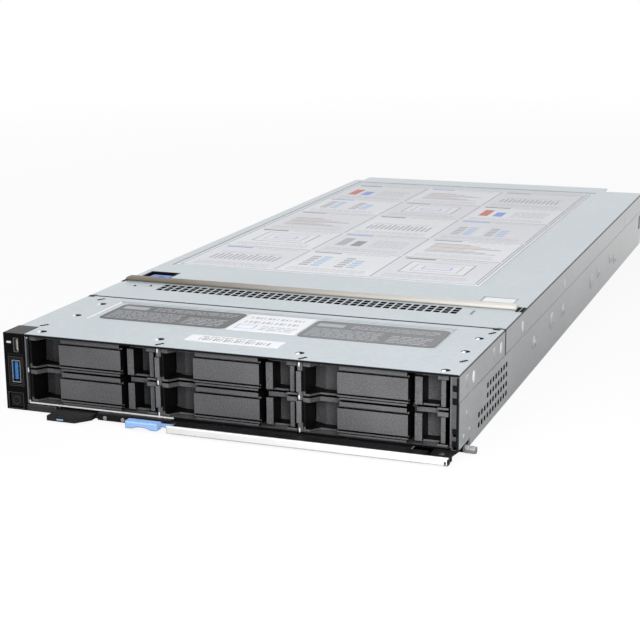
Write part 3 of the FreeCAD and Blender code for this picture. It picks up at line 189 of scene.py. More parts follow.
metals = {
    # the dark edge colour of zinc_steel and wall_steel is painted shade along the rounded bends; the other
    # metals show wear there
    "zinc_steel": {"dark": (0.495, 0.55, 0.585, 1), "light": (0.615, 0.67, 0.705, 1),
                   "edgeMark": (0.20, 0.22, 0.23, 1),
                   "edgeMarkShare": 0.55, "metal": 0.75, "rough": 0.34, "lines": (900, 30, 900), "edge": 0.0005},
    "wall_steel": {"dark": (0.505, 0.52, 0.525, 1), "light": (0.63, 0.645, 0.65, 1),
                   "edgeMark": (0.20, 0.21, 0.215, 1),
                   "edgeMarkShare": 0.55, "metal": 0.75, "rough": 0.34, "lines": (900, 30, 900), "edge": 0.0005},
    "cage_steel": {"dark": (0.30, 0.30, 0.305, 1), "light": (0.40, 0.40, 0.405, 1),
                   "edgeMark": (0.6, 0.6, 0.6, 1),
                   "edgeMarkShare": 0.6, "metal": 0.9, "rough": 0.4, "lines": (30, 900, 900), "edge": 0.0003},
    "bright_steel": {"dark": (0.52, 0.52, 0.53, 1), "light": (0.68, 0.68, 0.69, 1),
                     "edgeMark": (0.8, 0.8, 0.8, 1),
                     "edgeMarkShare": 0.6, "metal": 1.0, "rough": 0.24, "lines": (900, 900, 60), "edge": 0.0002},
    "sink_aluminium": {"dark": (0.6, 0.61, 0.62, 1), "light": (0.72, 0.73, 0.74, 1),
                       "edgeMark": (0.85, 0.85, 0.85, 1),
                       "edgeMarkShare": 0.5, "metal": 1.0, "rough": 0.3, "lines": (900, 40, 900), "edge": 0.0003},
    "handle_silver": {"dark": (0.86, 0.855, 0.845, 1), "light": (0.92, 0.915, 0.905, 1),
                      "edgeMark": (0.93, 0.93, 0.92, 1),
                      "edgeMarkShare": 0.5, "metal": 0.2, "rough": 0.32, "lines": (20, 900, 900), "edge": 0.0003},
    "dull_steel": {"dark": (0.13, 0.13, 0.135, 1), "light": (0.20, 0.20, 0.205, 1),
                   "edgeMark": (0.34, 0.34, 0.34, 1),
                   "edgeMarkShare": 0.5, "metal": 0.8, "rough": 0.42, "lines": (30, 900, 900), "edge": 0.0003},
    "contact_gold": {"dark": (0.60, 0.38, 0.12, 1), "light": (0.80, 0.56, 0.22, 1),
                     "edgeMark": (0.9, 0.7, 0.4, 1),
                     "edgeMarkShare": 0.4, "metal": 1.0, "rough": 0.28, "lines": (900, 60, 900), "edge": 0.0001},
}

sheetLook = {"cloud": 14, "spangle": 260, "scuff": 60, "scuffStretch": (1, 9, 4), "bump": 0.06,
             "depth": 0.0004, "shadeAndCoatColour": (0.012, 0.013, 0.015, 1), "pressed": 9, "crown": 1.8,
             "toneRun": (0.3, 0.72), "scuffRun": (0.66, 0.74), "sideShadeRun": (0.5, 0.9)}


def makeMetal(name, look, shadeAndCoatMask=None, pressed=(), sideShade=None):
    finish = Finish(name)
    cloud = finish.noise(sheetLook["cloud"], detail=4)
    spangle = finish.add("ShaderNodeTexVoronoi",
                         inputs={"Vector": finish.spot(), "Scale": sheetLook["spangle"]})
    lines = finish.noise(1.0, look["lines"], detail=5)
    tone = finish.ramp(cloud * 0.55 + lines * 0.3 + spangle * 0.25, *sheetLook["toneRun"])
    scuffs = finish.noise(sheetLook["scuff"], sheetLook["scuffStretch"], detail=6, roughness=0.7)
    scuffs = finish.ramp(scuffs, *sheetLook["scuffRun"])
    colour = finish.mix(tone, look["dark"], look["light"])
    if sideShade:  # painted shade: the skirts are a little greyer than the top, whose bluer tint stands for reflected sky
        aside = finish.ramp(finish.facing("X").size(), *sheetLook["sideShadeRun"])
        colour = finish.mix(aside, colour, finish.mix(tone, sideShade["dark"], sideShade["light"]))
    # edge colour: wear, and on the zinc sheets painted shade along the bends
    colour = finish.mix(finish.edges(look["edge"]) * look["edgeMarkShare"], colour, look["edgeMark"])
    rough = look["rough"] + (tone - 0.5) * 0.12 + scuffs * 0.12
    # painted shade along bends, seams and vents, and the lever's black coat, where the mask says
    if shadeAndCoatMask:
        share = finish.ramp(shadeAndCoatMask(finish), 0, 1)
        colour = finish.mix(share, colour, sheetLook["shadeAndCoatColour"])
        rough = rough + share * 0.4
    height = lines + spangle * 0.4
    if pressed:  # round marks in a side wall
        x, y, z = finish.axes()
        flat = finish.add("ShaderNodeCombineXYZ", inputs={"Y": y, "Z": z})
        for d, up, radius in pressed:
            reach = finish.add("ShaderNodeVectorMath", {"operation": "DISTANCE"},
                               {0: flat, 1: (0, place(0, d, 0).y, up / 1000)}, out="Value")
            dome = finish.ramp(reach, radius / 1000, radius / 1000 / sheetLook["crown"])
            height = height + dome * sheetLook["pressed"]
    normal = finish.bump(height, sheetLook["bump"], sheetLook["depth"], look["edge"])
    return finish.surface(Base_Color=colour, Metallic=look["metal"], Roughness=rough, Normal=normal)


# painted shade along bends, seams and the cage floor's edge, over the small vents and their walls; the
# lever's black coat

shadeAndCoatBands = {"skin": 0.06, "front": 0.3, "bend": 0.75, "sideFront": 34.0, "sideBack": 104.0, "wall": 1.3,
        "floor": 2.0, "lip": 0.9, "grip": 99.0, "sill": 1.2, "sillTop": 5.3, "bare": 0.3}
vents = {"left": 31.0, "front": 117.0, "pitch": 4.9, "rowPitch": 5.0, "wide": 3.5, "long": 3.3, "columns": 38,
         "rows": 3, "slack": 0.2, "rim": 0.5}
seam = {"plate": 90.3, "cover": 92.7, "shade": 0.85, "bend": 0.5, "bendFoot": 1.25, "bendShade": 0.88}


def inGrid(count, share, total):  # inside one of the openings that repeat
    return (count.fraction() < share) * (count > 0) * (count < total)


def sideBend(finish, x, z):  # painted shade along the folded edge of each side
    beside = x.size() > (sled["width"] / 2 - seam["bend"]) / 1000
    high = finish.ramp(z, (sled["top"] - seam["bendFoot"]) / 1000, (sled["top"] - seam["bend"]) / 1000)
    return beside * high * seam["bendShade"]


# painted shade over each vent opening, its walls and a thin rim round it, by the seam and along the side
# bends
def coverShade(finish):
    x, y, z = finish.axes()
    corner = place(vents["left"], vents["front"] - vents["rim"], 0)
    column = (x - corner.x) * (1000 / vents["pitch"])
    row = (y - corner.y) * (1000 / vents["rowPitch"])
    inColumn = inGrid(column, (vents["wide"] + vents["slack"]) / vents["pitch"], vents["columns"])
    inRow = inGrid(row, (vents["long"] + vents["rim"] * 2) / vents["rowPitch"], vents["rows"])
    return inColumn * inRow + (y < place(0, seam["cover"], 0).y) * seam["shade"] + sideBend(finish, x, z)


# painted shade along the front bend, by the seam and along the side bends
def plateShade(finish):
    x, y, z = finish.axes()
    front = 1 - finish.ramp(y, place(0, shadeAndCoatBands["front"], 0).y, place(0, shadeAndCoatBands["bend"], 0).y)
    return front + (y > place(0, seam["plate"], 0).y) * seam["shade"] + sideBend(finish, x, z)


def cageShade(finish):  # the floor's edge is in the shade of the grip
    x, y, z = finish.axes()
    edge = place(shadeAndCoatBands["grip"], shadeAndCoatBands["sill"], shadeAndCoatBands["sillTop"])
    return (y < edge.y) * (z < edge.z) * (x > edge.x)


def leverShade(finish):  # coated black, with a bare nose outside the wall
    x, y, z = finish.axes()
    return x < place(sled["width"] - shadeAndCoatBands["bare"], 0, 0).x


# painted shade on the walls of the side vents and on the front face under the handle
def trayShade(finish):
    x, y, z = finish.axes()
    inside = x.size() < (sled["width"] / 2 - shadeAndCoatBands["skin"]) / 1000
    wall = x.size() > (sled["width"] / 2 - shadeAndCoatBands["wall"]) / 1000
    run = (y > place(0, shadeAndCoatBands["sideFront"], 0).y) * (y < place(0, shadeAndCoatBands["sideBack"], 0).y)
    return inside * wall * run * (z > shadeAndCoatBands["floor"] / 1000) + (y < place(0, shadeAndCoatBands["skin"], 0).y) * shadeAndCoatBands["lip"]


# moulded plastics and boards

plastics = {
    "blank_plastic": {"dark": (0.055, 0.055, 0.058, 1), "light": (0.185, 0.185, 0.191, 1),
                      "edgeMark": 0.15, "side": 0.04,
                      "rough": 0.5, "gloss": 0.3, "grain": 1500, "edge": 0.0003},
    "black_plastic": {"dark": (0.006, 0.006, 0.0065, 1), "light": (0.012, 0.012, 0.013, 1), "edgeMark": 0.04,
                      "rough": 0.42, "gloss": 0.15, "grain": 2600, "edge": 0.0003},
    "trim_plastic": {"dark": (0.11, 0.11, 0.113, 1), "light": (0.19, 0.19, 0.194, 1),
                     "edgeMark": 0.3, "side": 0.1,
                     "rough": 0.4, "gloss": 0.4, "grain": 2400, "edge": 0.0003},
    "panel_plastic": {"dark": (0.003, 0.003, 0.0033, 1), "light": (0.006, 0.006, 0.0064, 1), "edgeMark": 0.025,
                      "rough": 0.25, "gloss": 0.07, "grain": 3000, "edge": 0.0004},
    "blue_plastic": {"dark": (0.29, 0.50, 0.92, 1), "light": (0.40, 0.61, 0.98, 1), "edgeMark": 0.6,
                     "rough": 0.36, "gloss": 0.4, "grain": 2600, "edge": 0.0004},
    "latch_blue": {"dark": (0.10, 0.20, 0.66, 1), "light": (0.16, 0.31, 0.84, 1), "edgeMark": 0.5,
                   "rough": 0.36, "gloss": 0.4, "grain": 2600, "edge": 0.0004},
    "tongue_blue": {"dark": (0.03, 0.20, 0.56, 1), "light": (0.06, 0.30, 0.72, 1), "edgeMark": 0.5,
                    "rough": 0.34, "gloss": 0.4, "grain": 2600, "edge": 0.0003},
    "socket_plastic": {"dark": (0.009, 0.009, 0.010, 1), "light": (0.018, 0.018, 0.019, 1), "edgeMark": 0.05,
                       "rough": 0.45, "gloss": 0.3, "grain": 2600, "edge": 0.0003},
    "connector_plastic": {"dark": (0.012, 0.012, 0.013, 1), "light": (0.022, 0.022, 0.024, 1), "edgeMark": 0.05,
                          "rough": 0.4, "gloss": 0.35, "grain": 2600, "edge": 0.0003},
    "button_plastic": {"dark": (0.006, 0.006, 0.0065, 1), "light": (0.012, 0.012, 0.0125, 1), "edgeMark": 0.06,
                       "rough": 0.32, "gloss": 0.2, "grain": 2600, "edge": 0.0004},
    "circuit_board": {"dark": (0.006, 0.045, 0.022, 1), "light": (0.012, 0.085, 0.042, 1), "edgeMark": 0.2,
                      "rough": 0.32, "gloss": 0.5, "grain": 1800, "edge": 0.0002},
    "mark_grey": {"dark": (0.03, 0.03, 0.03, 1), "light": (0.06, 0.06, 0.062, 1), "edgeMark": 0.1,
                  "rough": 0.5, "gloss": 0.3, "grain": 2600, "edge": 0.0001},
    "mark_white": {"dark": (0.74, 0.74, 0.75, 1), "light": (0.86, 0.86, 0.87, 1), "edgeMark": 0.85,
                   "rough": 0.5, "gloss": 0.3, "grain": 2600, "edge": 0.0001},
    # near black, for painted shade in holes, slots and gaps
    "hole_black": {"dark": (0.004, 0.004, 0.005, 1), "light": (0.009, 0.009, 0.010, 1), "edgeMark": 0.02,
                   "rough": 0.7, "gloss": 0.1, "grain": 2000, "edge": 0.0001},
}

posts = {"left": 14.55, "low": 5.15, "pitch": 77.67, "rise": 18.4, "wide": 1.5, "from": 2.2, "to": 15.2}


def blankPost(finish):  # painted shade on the blank's left wall, which lies back in the dark
    x, y, z = finish.axes()
    along = ((x - place(posts["left"], 0, 0).x) * (1000 / posts["pitch"])).fraction()
    up = ((z - posts["low"] / 1000) * (1000 / posts["rise"])).fraction()
    return ((along < posts["wide"] / posts["pitch"]) * (up > posts["from"] / posts["rise"])
            * (up < posts["to"] / posts["rise"]))


mould = {"cloud": 22, "dust": 420, "dustRun": (0.62, 0.8), "evenRun": (0.3, 0.7), "aheadRun": (0.3, 0.85),
         "bump": 0.18, "depth": 0.00006}


def makePlastic(name, look):
    finish = Finish(name)
    cloud = finish.ramp(finish.noise(mould["cloud"], detail=4), *mould["evenRun"])
    grain = finish.noise(look["grain"], detail=2)
    dust = finish.ramp(finish.noise(mould["dust"], detail=5, roughness=0.7), *mould["dustRun"])
    tone = cloud * 0.35 + finish.ramp(grain, *mould["evenRun"]) * 0.65
    colour = finish.mix(tone, look["dark"], look["light"])
    colour = finish.mix(finish.edges(look["edge"]) * 0.5 + dust * 0.12, colour, grey(look["edgeMark"]))
    if "side" in look:  # painted shade: grained on the front, plain and darker on the flanks and in the pockets
        ahead = finish.ramp(finish.facing("Y") * -1, *mould["aheadRun"])
        if name == "blank_plastic":
            ahead = ahead * (1 - blankPost(finish))
        colour = finish.mix(ahead, grey(look["side"] * look["dark"][0]), colour)
    rough = look["rough"] + (grain - 0.5) * 0.16 + dust * 0.1
    normal = finish.bump(grain, mould["bump"], mould["depth"], look["edge"])
    return finish.surface(Base_Color=colour, Roughness=rough, Normal=normal, Specular_IOR_Level=look["gloss"])


# woven cloth over the gasket's foam core

cloth = {"thread": 0.00055, "dark": (0.13, 0.108, 0.085, 1), "light": (0.30, 0.262, 0.215, 1),
         "rightTone": (0.84, 0.81, 0.755, 1), "rightToneRun": (-0.09, 0.11), "rightToneShare": 0.92,
         "footShade": (0.10, 0.085, 0.06, 1), "footShadeHeight": 0.45, "footShadeShare": 0.85, "fade": 9,
         "metal": 0.35, "bump": 0.5, "depth": 0.0001}


def makeCloth():
    finish = Finish("gasket_fabric")
    pitch = math.tau / cloth["thread"]
    across, along, up = finish.axes()
    warp = finish.add("ShaderNodeMath", {"operation": "SINE"}, {0: across * pitch})
    weft = finish.add("ShaderNodeMath", {"operation": "SINE"}, {0: along * pitch})
    weave = warp * weft * 0.5 + 0.5
    fade = finish.ramp(finish.noise(cloth["fade"], detail=4), 0.3, 0.7)
    colour = finish.mix(weave * 0.45 + fade * 0.4, cloth["dark"], cloth["light"])
    rightTone = finish.ramp(across, *cloth["rightToneRun"])
    colour = finish.mix(rightTone * cloth["rightToneShare"], colour, cloth["rightTone"])  # paler to the right
    footShade = finish.ramp(up, (sled["top"] + cloth["footShadeHeight"]) / 1000, sled["top"] / 1000)
    colour = finish.mix(footShade * cloth["footShadeShare"], colour, cloth["footShade"])  # painted shade along the sheet
    return finish.surface(Base_Color=colour, Metallic=cloth["metal"], Roughness=0.55 - weave * 0.12,
                          Normal=finish.bump(weave, cloth["bump"], cloth["depth"]))


# printed sheets: the ink is a colour attribute, and the film over it varies in gloss

filmLook = {"fade": 35, "fibre": 2400, "veil": (0.42, 0.43, 0.44, 1), "bump": 0.05, "depth": 0.00004}


def makePrint():
    finish = Finish("printed_film")
    ink = finish.add("ShaderNodeVertexColor", {"layer_name": "ink"})
    fade = finish.ramp(finish.noise(filmLook["fade"], detail=4), 0.25, 0.75)
    fibre = finish.noise(filmLook["fibre"], detail=2)
    colour = finish.mix(fade * 0.10 + fibre * 0.05, ink, filmLook["veil"])
    return finish.surface(Base_Color=colour, Roughness=0.38 + fibre * 0.1,
                          Normal=finish.bump(fibre, filmLook["bump"], filmLook["depth"]))


wallMarks = ((161.7, 17.1, 3.2), (211.1, 18.2, 4.2), (244.5, 17.3, 3.0), (342.7, 15.4, 4.2),
             (369.5, 15.9, 3.0), (418.8, 16.3, 3.0), (437.0, 12.7, 3.0))  # depth, height and radius
finishes = {name: makeMetal(name, look) for name, look in metals.items()}
finishes.update({name: makePlastic(name, look) for name, look in plastics.items()})
finishes["gasket_fabric"] = makeCloth()
finishes["printed_film"] = makePrint()
finishes["cover_zinc"] = makeMetal("cover_zinc", metals["zinc_steel"], coverShade, sideShade=metals["wall_steel"])
finishes["plate_zinc"] = makeMetal("plate_zinc", metals["zinc_steel"], plateShade, sideShade=metals["wall_steel"])
finishes["tray_zinc"] = makeMetal("tray_zinc", metals["wall_steel"], trayShade, wallMarks)
finishes["bay_steel"] = makeMetal("bay_steel", metals["cage_steel"], cageShade)
finishes["lever_steel"] = makeMetal("lever_steel", metals["cage_steel"], leverShade)
ownFinish = {"top_cover": "cover_zinc", "front_top_plate": "plate_zinc", "chassis_tray": "tray_zinc",
             "drive_cage": "bay_steel", "ejector_lever": "lever_steel", "right_end_plate": "dull_steel",
             "service_port": "dull_steel", "cover_latch": "latch_blue", "usb_port_tongue": "tongue_blue",
             "divider_trims": "trim_plastic"}
for part in frame["record"]["subparts"]:
    shape = frame["nodes"][part["node"]].data
    shape.materials.clear()
    shape.materials.append(finishes[ownFinish.get(part["node"], part["material_slot"])])
print("finishes made:", len(finishes))


# helpers for pieces; a bevel or a size is in mm

def keepMesh(name, mesh, finishName, body, smooth=False):
    mesh.materials.clear()
    mesh.materials.append(finishes[finishName])
    for face in mesh.polygons:
        face.use_smooth = smooth
    piece = bpy.data.objects.new(name, mesh)
    bpy.context.scene.collection.objects.link(piece)
    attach(piece, body)
    return piece


def keep(name, shape, finishName, body, smooth=False):
    mesh = bpy.data.meshes.new(name)
    shape.to_mesh(mesh)
    shape.free()
    return keepMesh(name, mesh, finishName, body, smooth)


def slab(shape, low, high, ink=None, layer=None):
    made = bmesh.ops.create_cube(shape, size=1)
    for vert in made["verts"]:
        vert.co = Vector([low[i] + (vert.co[i] + 0.5) * (high[i] - low[i]) for i in range(3)])
    if ink is not None:
        for face in {face for vert in made["verts"] for face in vert.link_faces}:
            for loop in face.loops:
                loop[layer] = ink


def addBar(name, boxes, bevel, finishName, body, slotName, segments=2):  # bevelled boxes in one piece
    shape = bmesh.new()
    for low, high in boxes:
        slab(shape, place(*low), place(*high))
    bmesh.ops.bevel(shape, geom=list(shape.edges), offset=bevel / 1000, segments=segments, affect="EDGES")
    return keep(name, shape, finishName, body)


def skin(shape, spots, closed=False):  # faces from ring to ring, and over both ends of an open run
    rings = [[shape.verts.new(place(*spot)) for spot in ring] for ring in spots]
    for one, two in zip(rings, rings[1:] + rings[:1] if closed else rings[1:]):
        for k in range(len(one)):
            after = (k + 1) % len(one)
            shape.faces.new((one[k], one[after], two[after], two[k]))
    if not closed:
        shape.faces.new(rings[0][::-1])
        shape.faces.new(rings[-1])
    bmesh.ops.recalc_face_normals(shape, faces=shape.faces)


def circle(count):
    return [math.tau * k / count for k in range(count)]


# small marks and contacts that repeat, set out by one node tree

ball = {"Segments": 20, "Rings": 10, "Radius": 0.5}


def scatterTree(kind, finish):
    tree = bpy.data.node_groups.new(kind + "Scatter", "GeometryNodeTree")
    tree.interface.new_socket("Geometry", in_out="INPUT", socket_type="NodeSocketGeometry")
    tree.interface.new_socket("Geometry", in_out="OUTPUT", socket_type="NodeSocketGeometry")
    size = tree.interface.new_socket("Size", in_out="INPUT", socket_type="NodeSocketVector")
    nodes, links = tree.nodes, tree.links
    start = nodes.new("NodeGroupInput")
    source = nodes.new("GeometryNodeMeshUVSphere" if kind == "ball" else "GeometryNodeMeshCube")
    if kind == "ball":
        for label, value in ball.items():
            source.inputs[label].default_value = value
    shaped = nodes.new("GeometryNodeTransform")
    links.new(source.outputs["Mesh"], shaped.inputs["Geometry"])
    links.new(start.outputs["Size"], shaped.inputs["Scale"])
    spread = nodes.new("GeometryNodeInstanceOnPoints")
    links.new(start.outputs["Geometry"], spread.inputs["Points"])
    links.new(shaped.outputs["Geometry"], spread.inputs["Instance"])
    real = nodes.new("GeometryNodeRealizeInstances")
    links.new(spread.outputs["Instances"], real.inputs["Geometry"])
    paint = nodes.new("GeometryNodeSetMaterial")
    paint.inputs["Material"].default_value = finish
    links.new(real.outputs["Geometry"], paint.inputs["Geometry"])
    end = nodes.new("NodeGroupOutput")
    links.new(paint.outputs["Geometry"], end.inputs["Geometry"])
    return tree, size.identifier


def scatter(name, kind, spots, size, finishName, body):
    points = bpy.data.meshes.new(name + "_points")
    points.from_pydata([place(*spot) for spot in spots], [], [])
    carrier = bpy.data.objects.new(name + "_points", points)
    bpy.context.scene.collection.objects.link(carrier)
    modifier = carrier.modifiers.new("scatter", "NODES")
    modifier.node_group, sizeKey = scatterTree(kind, finishes[finishName])
    modifier[sizeKey] = [length / 1000 for length in size]
    graph = bpy.context.evaluated_depsgraph_get()
    mesh = bpy.data.meshes.new_from_object(carrier.evaluated_get(graph))
    bpy.data.objects.remove(carrier)
    return keepMesh(name, mesh, finishName, body, smooth=kind == "ball")


# dimples, lances and clinches pressed into the sheet, with painted highlights and painted shade set on them

def onTop(*spots):
    return [(x, d, sled["top"]) for x, d in spots]


def onSide(*spots):
    return [(sled["width"], d, z) for d, z in spots]


marks = {
    "frontLeft": onTop((18.4, 45.4), (18.4, 73.7), (19.0, 7.7), (85.4, 13.7)),
    "frontRight": onTop((163.9, 12.1), (241.1, 5.9), (241.2, 41.5), (241.4, 68.4)),
    "cover": onTop((12.8, 123.0), (22.3, 125.4)),
    "lance": onTop((12.5, 84.2), (13.0, 20.5), (90.0, 5.0), (169.0, 4.2), (245.4, 24.4), (245.4, 81.6)),
    "slit": onTop((223.9, 119.2), (223.9, 122.4), (223.9, 125.6)),
    "seamEnd": onTop((3.0, 89.9), (245.7, 89.4)),
    "gasketEnd": onTop(*[(x, d) for x in (1.1, 248.85, 246.5) for d in (132.8, 135.6, 138.4, 141.2)]),
    "clinch": onSide((13.9, 35.6), (66.7, 35.4)),
    "oval": onSide((26.1, 34.4), (81.9, 34.6)),
    "coverOval": onSide((132.2, 34.0), (250.0, 33.5), (369.0, 33.3), (480.0, 33.2)),
    "drop": onSide((161.7, 17.1), (244.5, 17.3), (369.5, 15.9), (418.8, 16.3), (437.0, 12.7)),
    "bigDrop": onSide((211.1, 18.2), (342.7, 15.4)),
    "rivet": onSide((13.7, 19.2), (19.1, 9.4), (8.5, 9.0)),
    "endHole": [(248.0, -0.85, z) for z in (35.7, 29.4, 14.2, 8.1)],
}
still = (0, 0, 0)
stamps = {  # each set of marks with its shift; the silver sets are painted highlights and the dark sets painted shade
    # painted highlight on each front dimple, with painted shade beside it
    "front_dimple_highlights": {"kind": "ball", "size": (2.1, 2.3, 1.0), "finish": "handle_silver", "body": "chassis",
                      "at": (("frontLeft", (-0.8, -1.0, 0)), ("frontRight", (-0.1, -1.0, 0)))},
    "front_dimple_shades": {"kind": "ball", "size": (4.6, 4.6, 0.3), "finish": "hole_black", "body": "chassis",
                          "at": (("frontLeft", (0.4, 0.5, 0)), ("frontRight", (0.4, 0.5, 0)))},
    "cover_dimples": {"kind": "ball", "size": (3.2, 3.2, 1.1), "finish": "zinc_steel", "body": "cover",
                      "at": (("cover", still),)},
    # painted shade beside each cover dimple
    "cover_dimple_shades": {"kind": "ball", "size": (2.6, 2.6, 0.8), "finish": "hole_black", "body": "cover",
                          "at": (("cover", (0.9, 0, 0)),)},
    # painted shade in the lances, slits, seam ends and gasket end slots
    "front_lance_shades": {"kind": "brick", "size": (1.7, 2.0, 0.14), "finish": "hole_black", "body": "chassis",
                     "at": (("lance", (-0.85, -1.4, 0)), ("lance", still), ("lance", (0.85, 1.4, 0)))},
    "cover_slit_shades": {"kind": "brick", "size": (1.3, 2.4, 0.14), "finish": "dull_steel", "body": "cover",
                    "at": (("slit", still),)},
    "seam_end_shades": {"kind": "brick", "size": (3.8, 2.4, 0.14), "finish": "hole_black", "body": "chassis",
                  "at": (("seamEnd", still),)},
    "gasket_end_slot_shades": {"kind": "brick", "size": (1.9, 2.9, 0.14), "finish": "hole_black", "body": "cover",
                         "at": (("gasketEnd", still),)},
    "side_clinches": {"kind": "ball", "size": (0.9, 5.6, 6.6), "finish": "sink_aluminium", "body": "chassis",
                      "at": (("clinch", still),)},
    # painted highlights on the ovals
    "side_oval_highlights": {"kind": "ball", "size": (0.7, 5.0, 6.4), "finish": "handle_silver", "body": "chassis",
                   "at": (("oval", still),)},
    "cover_oval_highlights": {"kind": "ball", "size": (0.7, 5.0, 6.4), "finish": "handle_silver", "body": "cover",
                    "at": (("coverOval", still),)},
    "side_drops": {"kind": "ball", "size": (1.9, 6.8, 8.0), "finish": "wall_steel", "body": "chassis",
                   "at": (("drop", still),)},
    "side_big_drops": {"kind": "ball", "size": (2.2, 9.0, 11.2), "finish": "wall_steel", "body": "chassis",
                       "at": (("bigDrop", still),)},
    # painted shade and a painted glint on each drop
    "side_drop_shades": {"kind": "ball", "size": (1.5, 2.6, 3.2), "finish": "cage_steel", "body": "chassis",
                       "at": (("drop", (0.4, 1.2, -1.2)), ("bigDrop", (0.4, 1.2, -1.2)))},
    "side_drop_glints": {"kind": "ball", "size": (1.5, 1.8, 2.8), "finish": "handle_silver",
                         "body": "chassis",
                         "at": (("drop", (0.4, -0.8, 0.9)), ("bigDrop", (0.4, -0.8, 0.9)))},
    # painted shade in the holes of the end plate
    "end_plate_hole_shades": {"kind": "brick", "size": (2.0, 0.3, 2.8), "finish": "hole_black", "body": "chassis",
                        "at": (("endHole", still),), "slot": "cage_steel"},
    "side_rivets": {"kind": "ball", "size": (0.9, 3.0, 3.0), "finish": "zinc_steel", "body": "chassis",
                    "at": (("rivet", still),)},
}


def addStamps():
    for name, stamp in stamps.items():
        spots = [[a + b for a, b in zip(spot, shift)] for key, shift in stamp["at"] for spot in marks[key]]
        scatter(name, stamp["kind"], spots, stamp["size"], stamp["finish"], stamp["body"])


# sloped bends round the sunk label field of the front plate, and a painted highlight along its left bend

recess = {"left": 26.0, "right": 226.0, "front": 42.0, "back": 84.0, "deep": 0.5, "slope": 1.5, "trim": 0.05,
          "sides": {"recess_bends": ((0, 1, 2), "zinc_steel"), "recess_edge_highlight": ((3,), "handle_silver")}}


def recessCorners(slope):
    left, right = recess["left"] + slope, recess["right"] - slope
    front, back = recess["front"] + slope, recess["back"] - slope
    return [(left, front), (right, front), (right, back), (left, back)]


def addRecessBends():
    high, low = sled["top"] - recess["trim"], sled["top"] - recess["deep"]
    wedges = [((*outer, high), (*inner, low), (*outer, low))
              for outer, inner in zip(recessCorners(0), recessCorners(recess["slope"]))]
    for name, (sides, finishName) in recess["sides"].items():
        shape = bmesh.new()
        for k in sides:
            skin(shape, (wedges[k], wedges[(k + 1) % 4]))
        keep(name, shape, finishName, "chassis")


# single bars: low and high corner of each box, bevel, finish, body and slot

# the bright line is a painted highlight along the lit edge of the cage floor, and the glints are painted
# glints on the hem
hem = {"front": 0.1, "back": 0.6, "low": 4.2, "line": 0.8, "glintWide": 0.6,
       "glints": ((13.9, 40.2, 0.7), (13.9, 22.6, 2.6), (13.9, 5.6, 0.9))}
hemBars = [((13.8, hem["front"], hem["low"]), (99.0, hem["back"], hem["low"] + hem["line"]))]
hemBars += [((x, hem["front"], z - tall / 2), (x + hem["glintWide"], hem["back"], z + tall / 2))
            for x, z, tall in hem["glints"]]
bars = {
    "pocket_plate": ([((221.6, 152.0, 41.75), (240.0, 161.6, 42.0))],
                     0.1, "handle_silver", "cover", "zinc_steel"),
    "panel_bar": ([((1.9, -0.12, 36.6), (4.6, 0.0, 37.7))], 0.05, "mark_white", "chassis", "panel_plastic"),
    "service_port_core": ([((7.0, 0.7, 32.9), (7.6, 5.6, 38.7))],
                          0.2, "contact_gold", "chassis", "bright_steel"),
    # painted highlight on the lit inner wall of the service port
    "service_port_highlight": ([((7.75, 0.5, 32.5), (8.65, 5.6, 39.1))],
                           0.15, "mark_white", "chassis", "bright_steel"),
    "cage_hem": ([((13.0, 0.1, 4.2), (13.8, 0.6, 40.6))], 0.1, "trim_plastic", "chassis", "cage_steel"),
    # painted highlight along the lit front edge of the cage floor, with painted glints on the hem
    "cage_edge_highlights": (hemBars, 0.1, "handle_silver", "chassis", "cage_steel"),
    "tag_mark": ([((37.4, -12.55, 1.0), (41.4, -12.35, 1.75))], 0.06, "blue_plastic", "information_tag",
                 "blue_plastic"),
    "end_plate_edge": ([((249.0, -0.95, 4.8), (250.0, -0.8, 41.0))],
                       0.04, "hole_black", "chassis", "cage_steel"),
    # a black sheet where the lever's surroundings lie in shade: painted shade
    "lever_shade_plate": ([((224.4, 0.5, 0.0), (243.0, 20.8, 0.12))],
                    0.04, "black_plastic", "chassis", "black_plastic"),
    "handle_end_cap": ([((245.9, -12.95, 0.75), (248.7, -9.4, 4.75))], 0.4, "black_plastic", "handle",
                       "black_plastic", 3),
    "handle_end_spot": ([((246.5, -13.0, 1.5), (247.6, -12.8, 3.0))], 0.06, "handle_silver", "handle",
                        "handle_silver"),
}


def addBars():
    for name, settings in bars.items():
        addBar(name, *settings)


# frames, dots and button ring of the control panel, and painted glints at the notches of the dividers

panelMarks = {"usb": (2.3, 13.2, 11.4, 29.4), "button": (1.2, 0.5, 10.6, 9.6), "line": 0.35, "proud": 0.3,
              "inset": 0.9, "bevel": 0.07, "dots": 6, "dotsLeft": 2.6, "dotsRun": 8.4, "dotsHigh": 30.6,
              "dotSize": (0.55, 0.3, 0.55)}
ring = {"x": 5.8, "z": 5.0, "d": 0.4, "radius": 2.1, "thick": 0.2, "deep": 0.16, "steps": 40, "sides": 8}
notches = {"dividers": (90.57, 168.24), "heights": (5.9, 22.9, 39.9), "aside": 0.15, "d": 0.45,
           "size": (0.9, 0.5, 2.6)}


def frameBars(box, line, front):  # four bars round an opening, out from the panel's face
    left, low, right, high = box
    sides = ((left, low, right, low + line), (left, high - line, right, high),
             (left, low + line, left + line, high - line), (right - line, low + line, right, high - line))
    return [((a, front, b), (c, 0.0, e)) for a, b, c, e in sides]


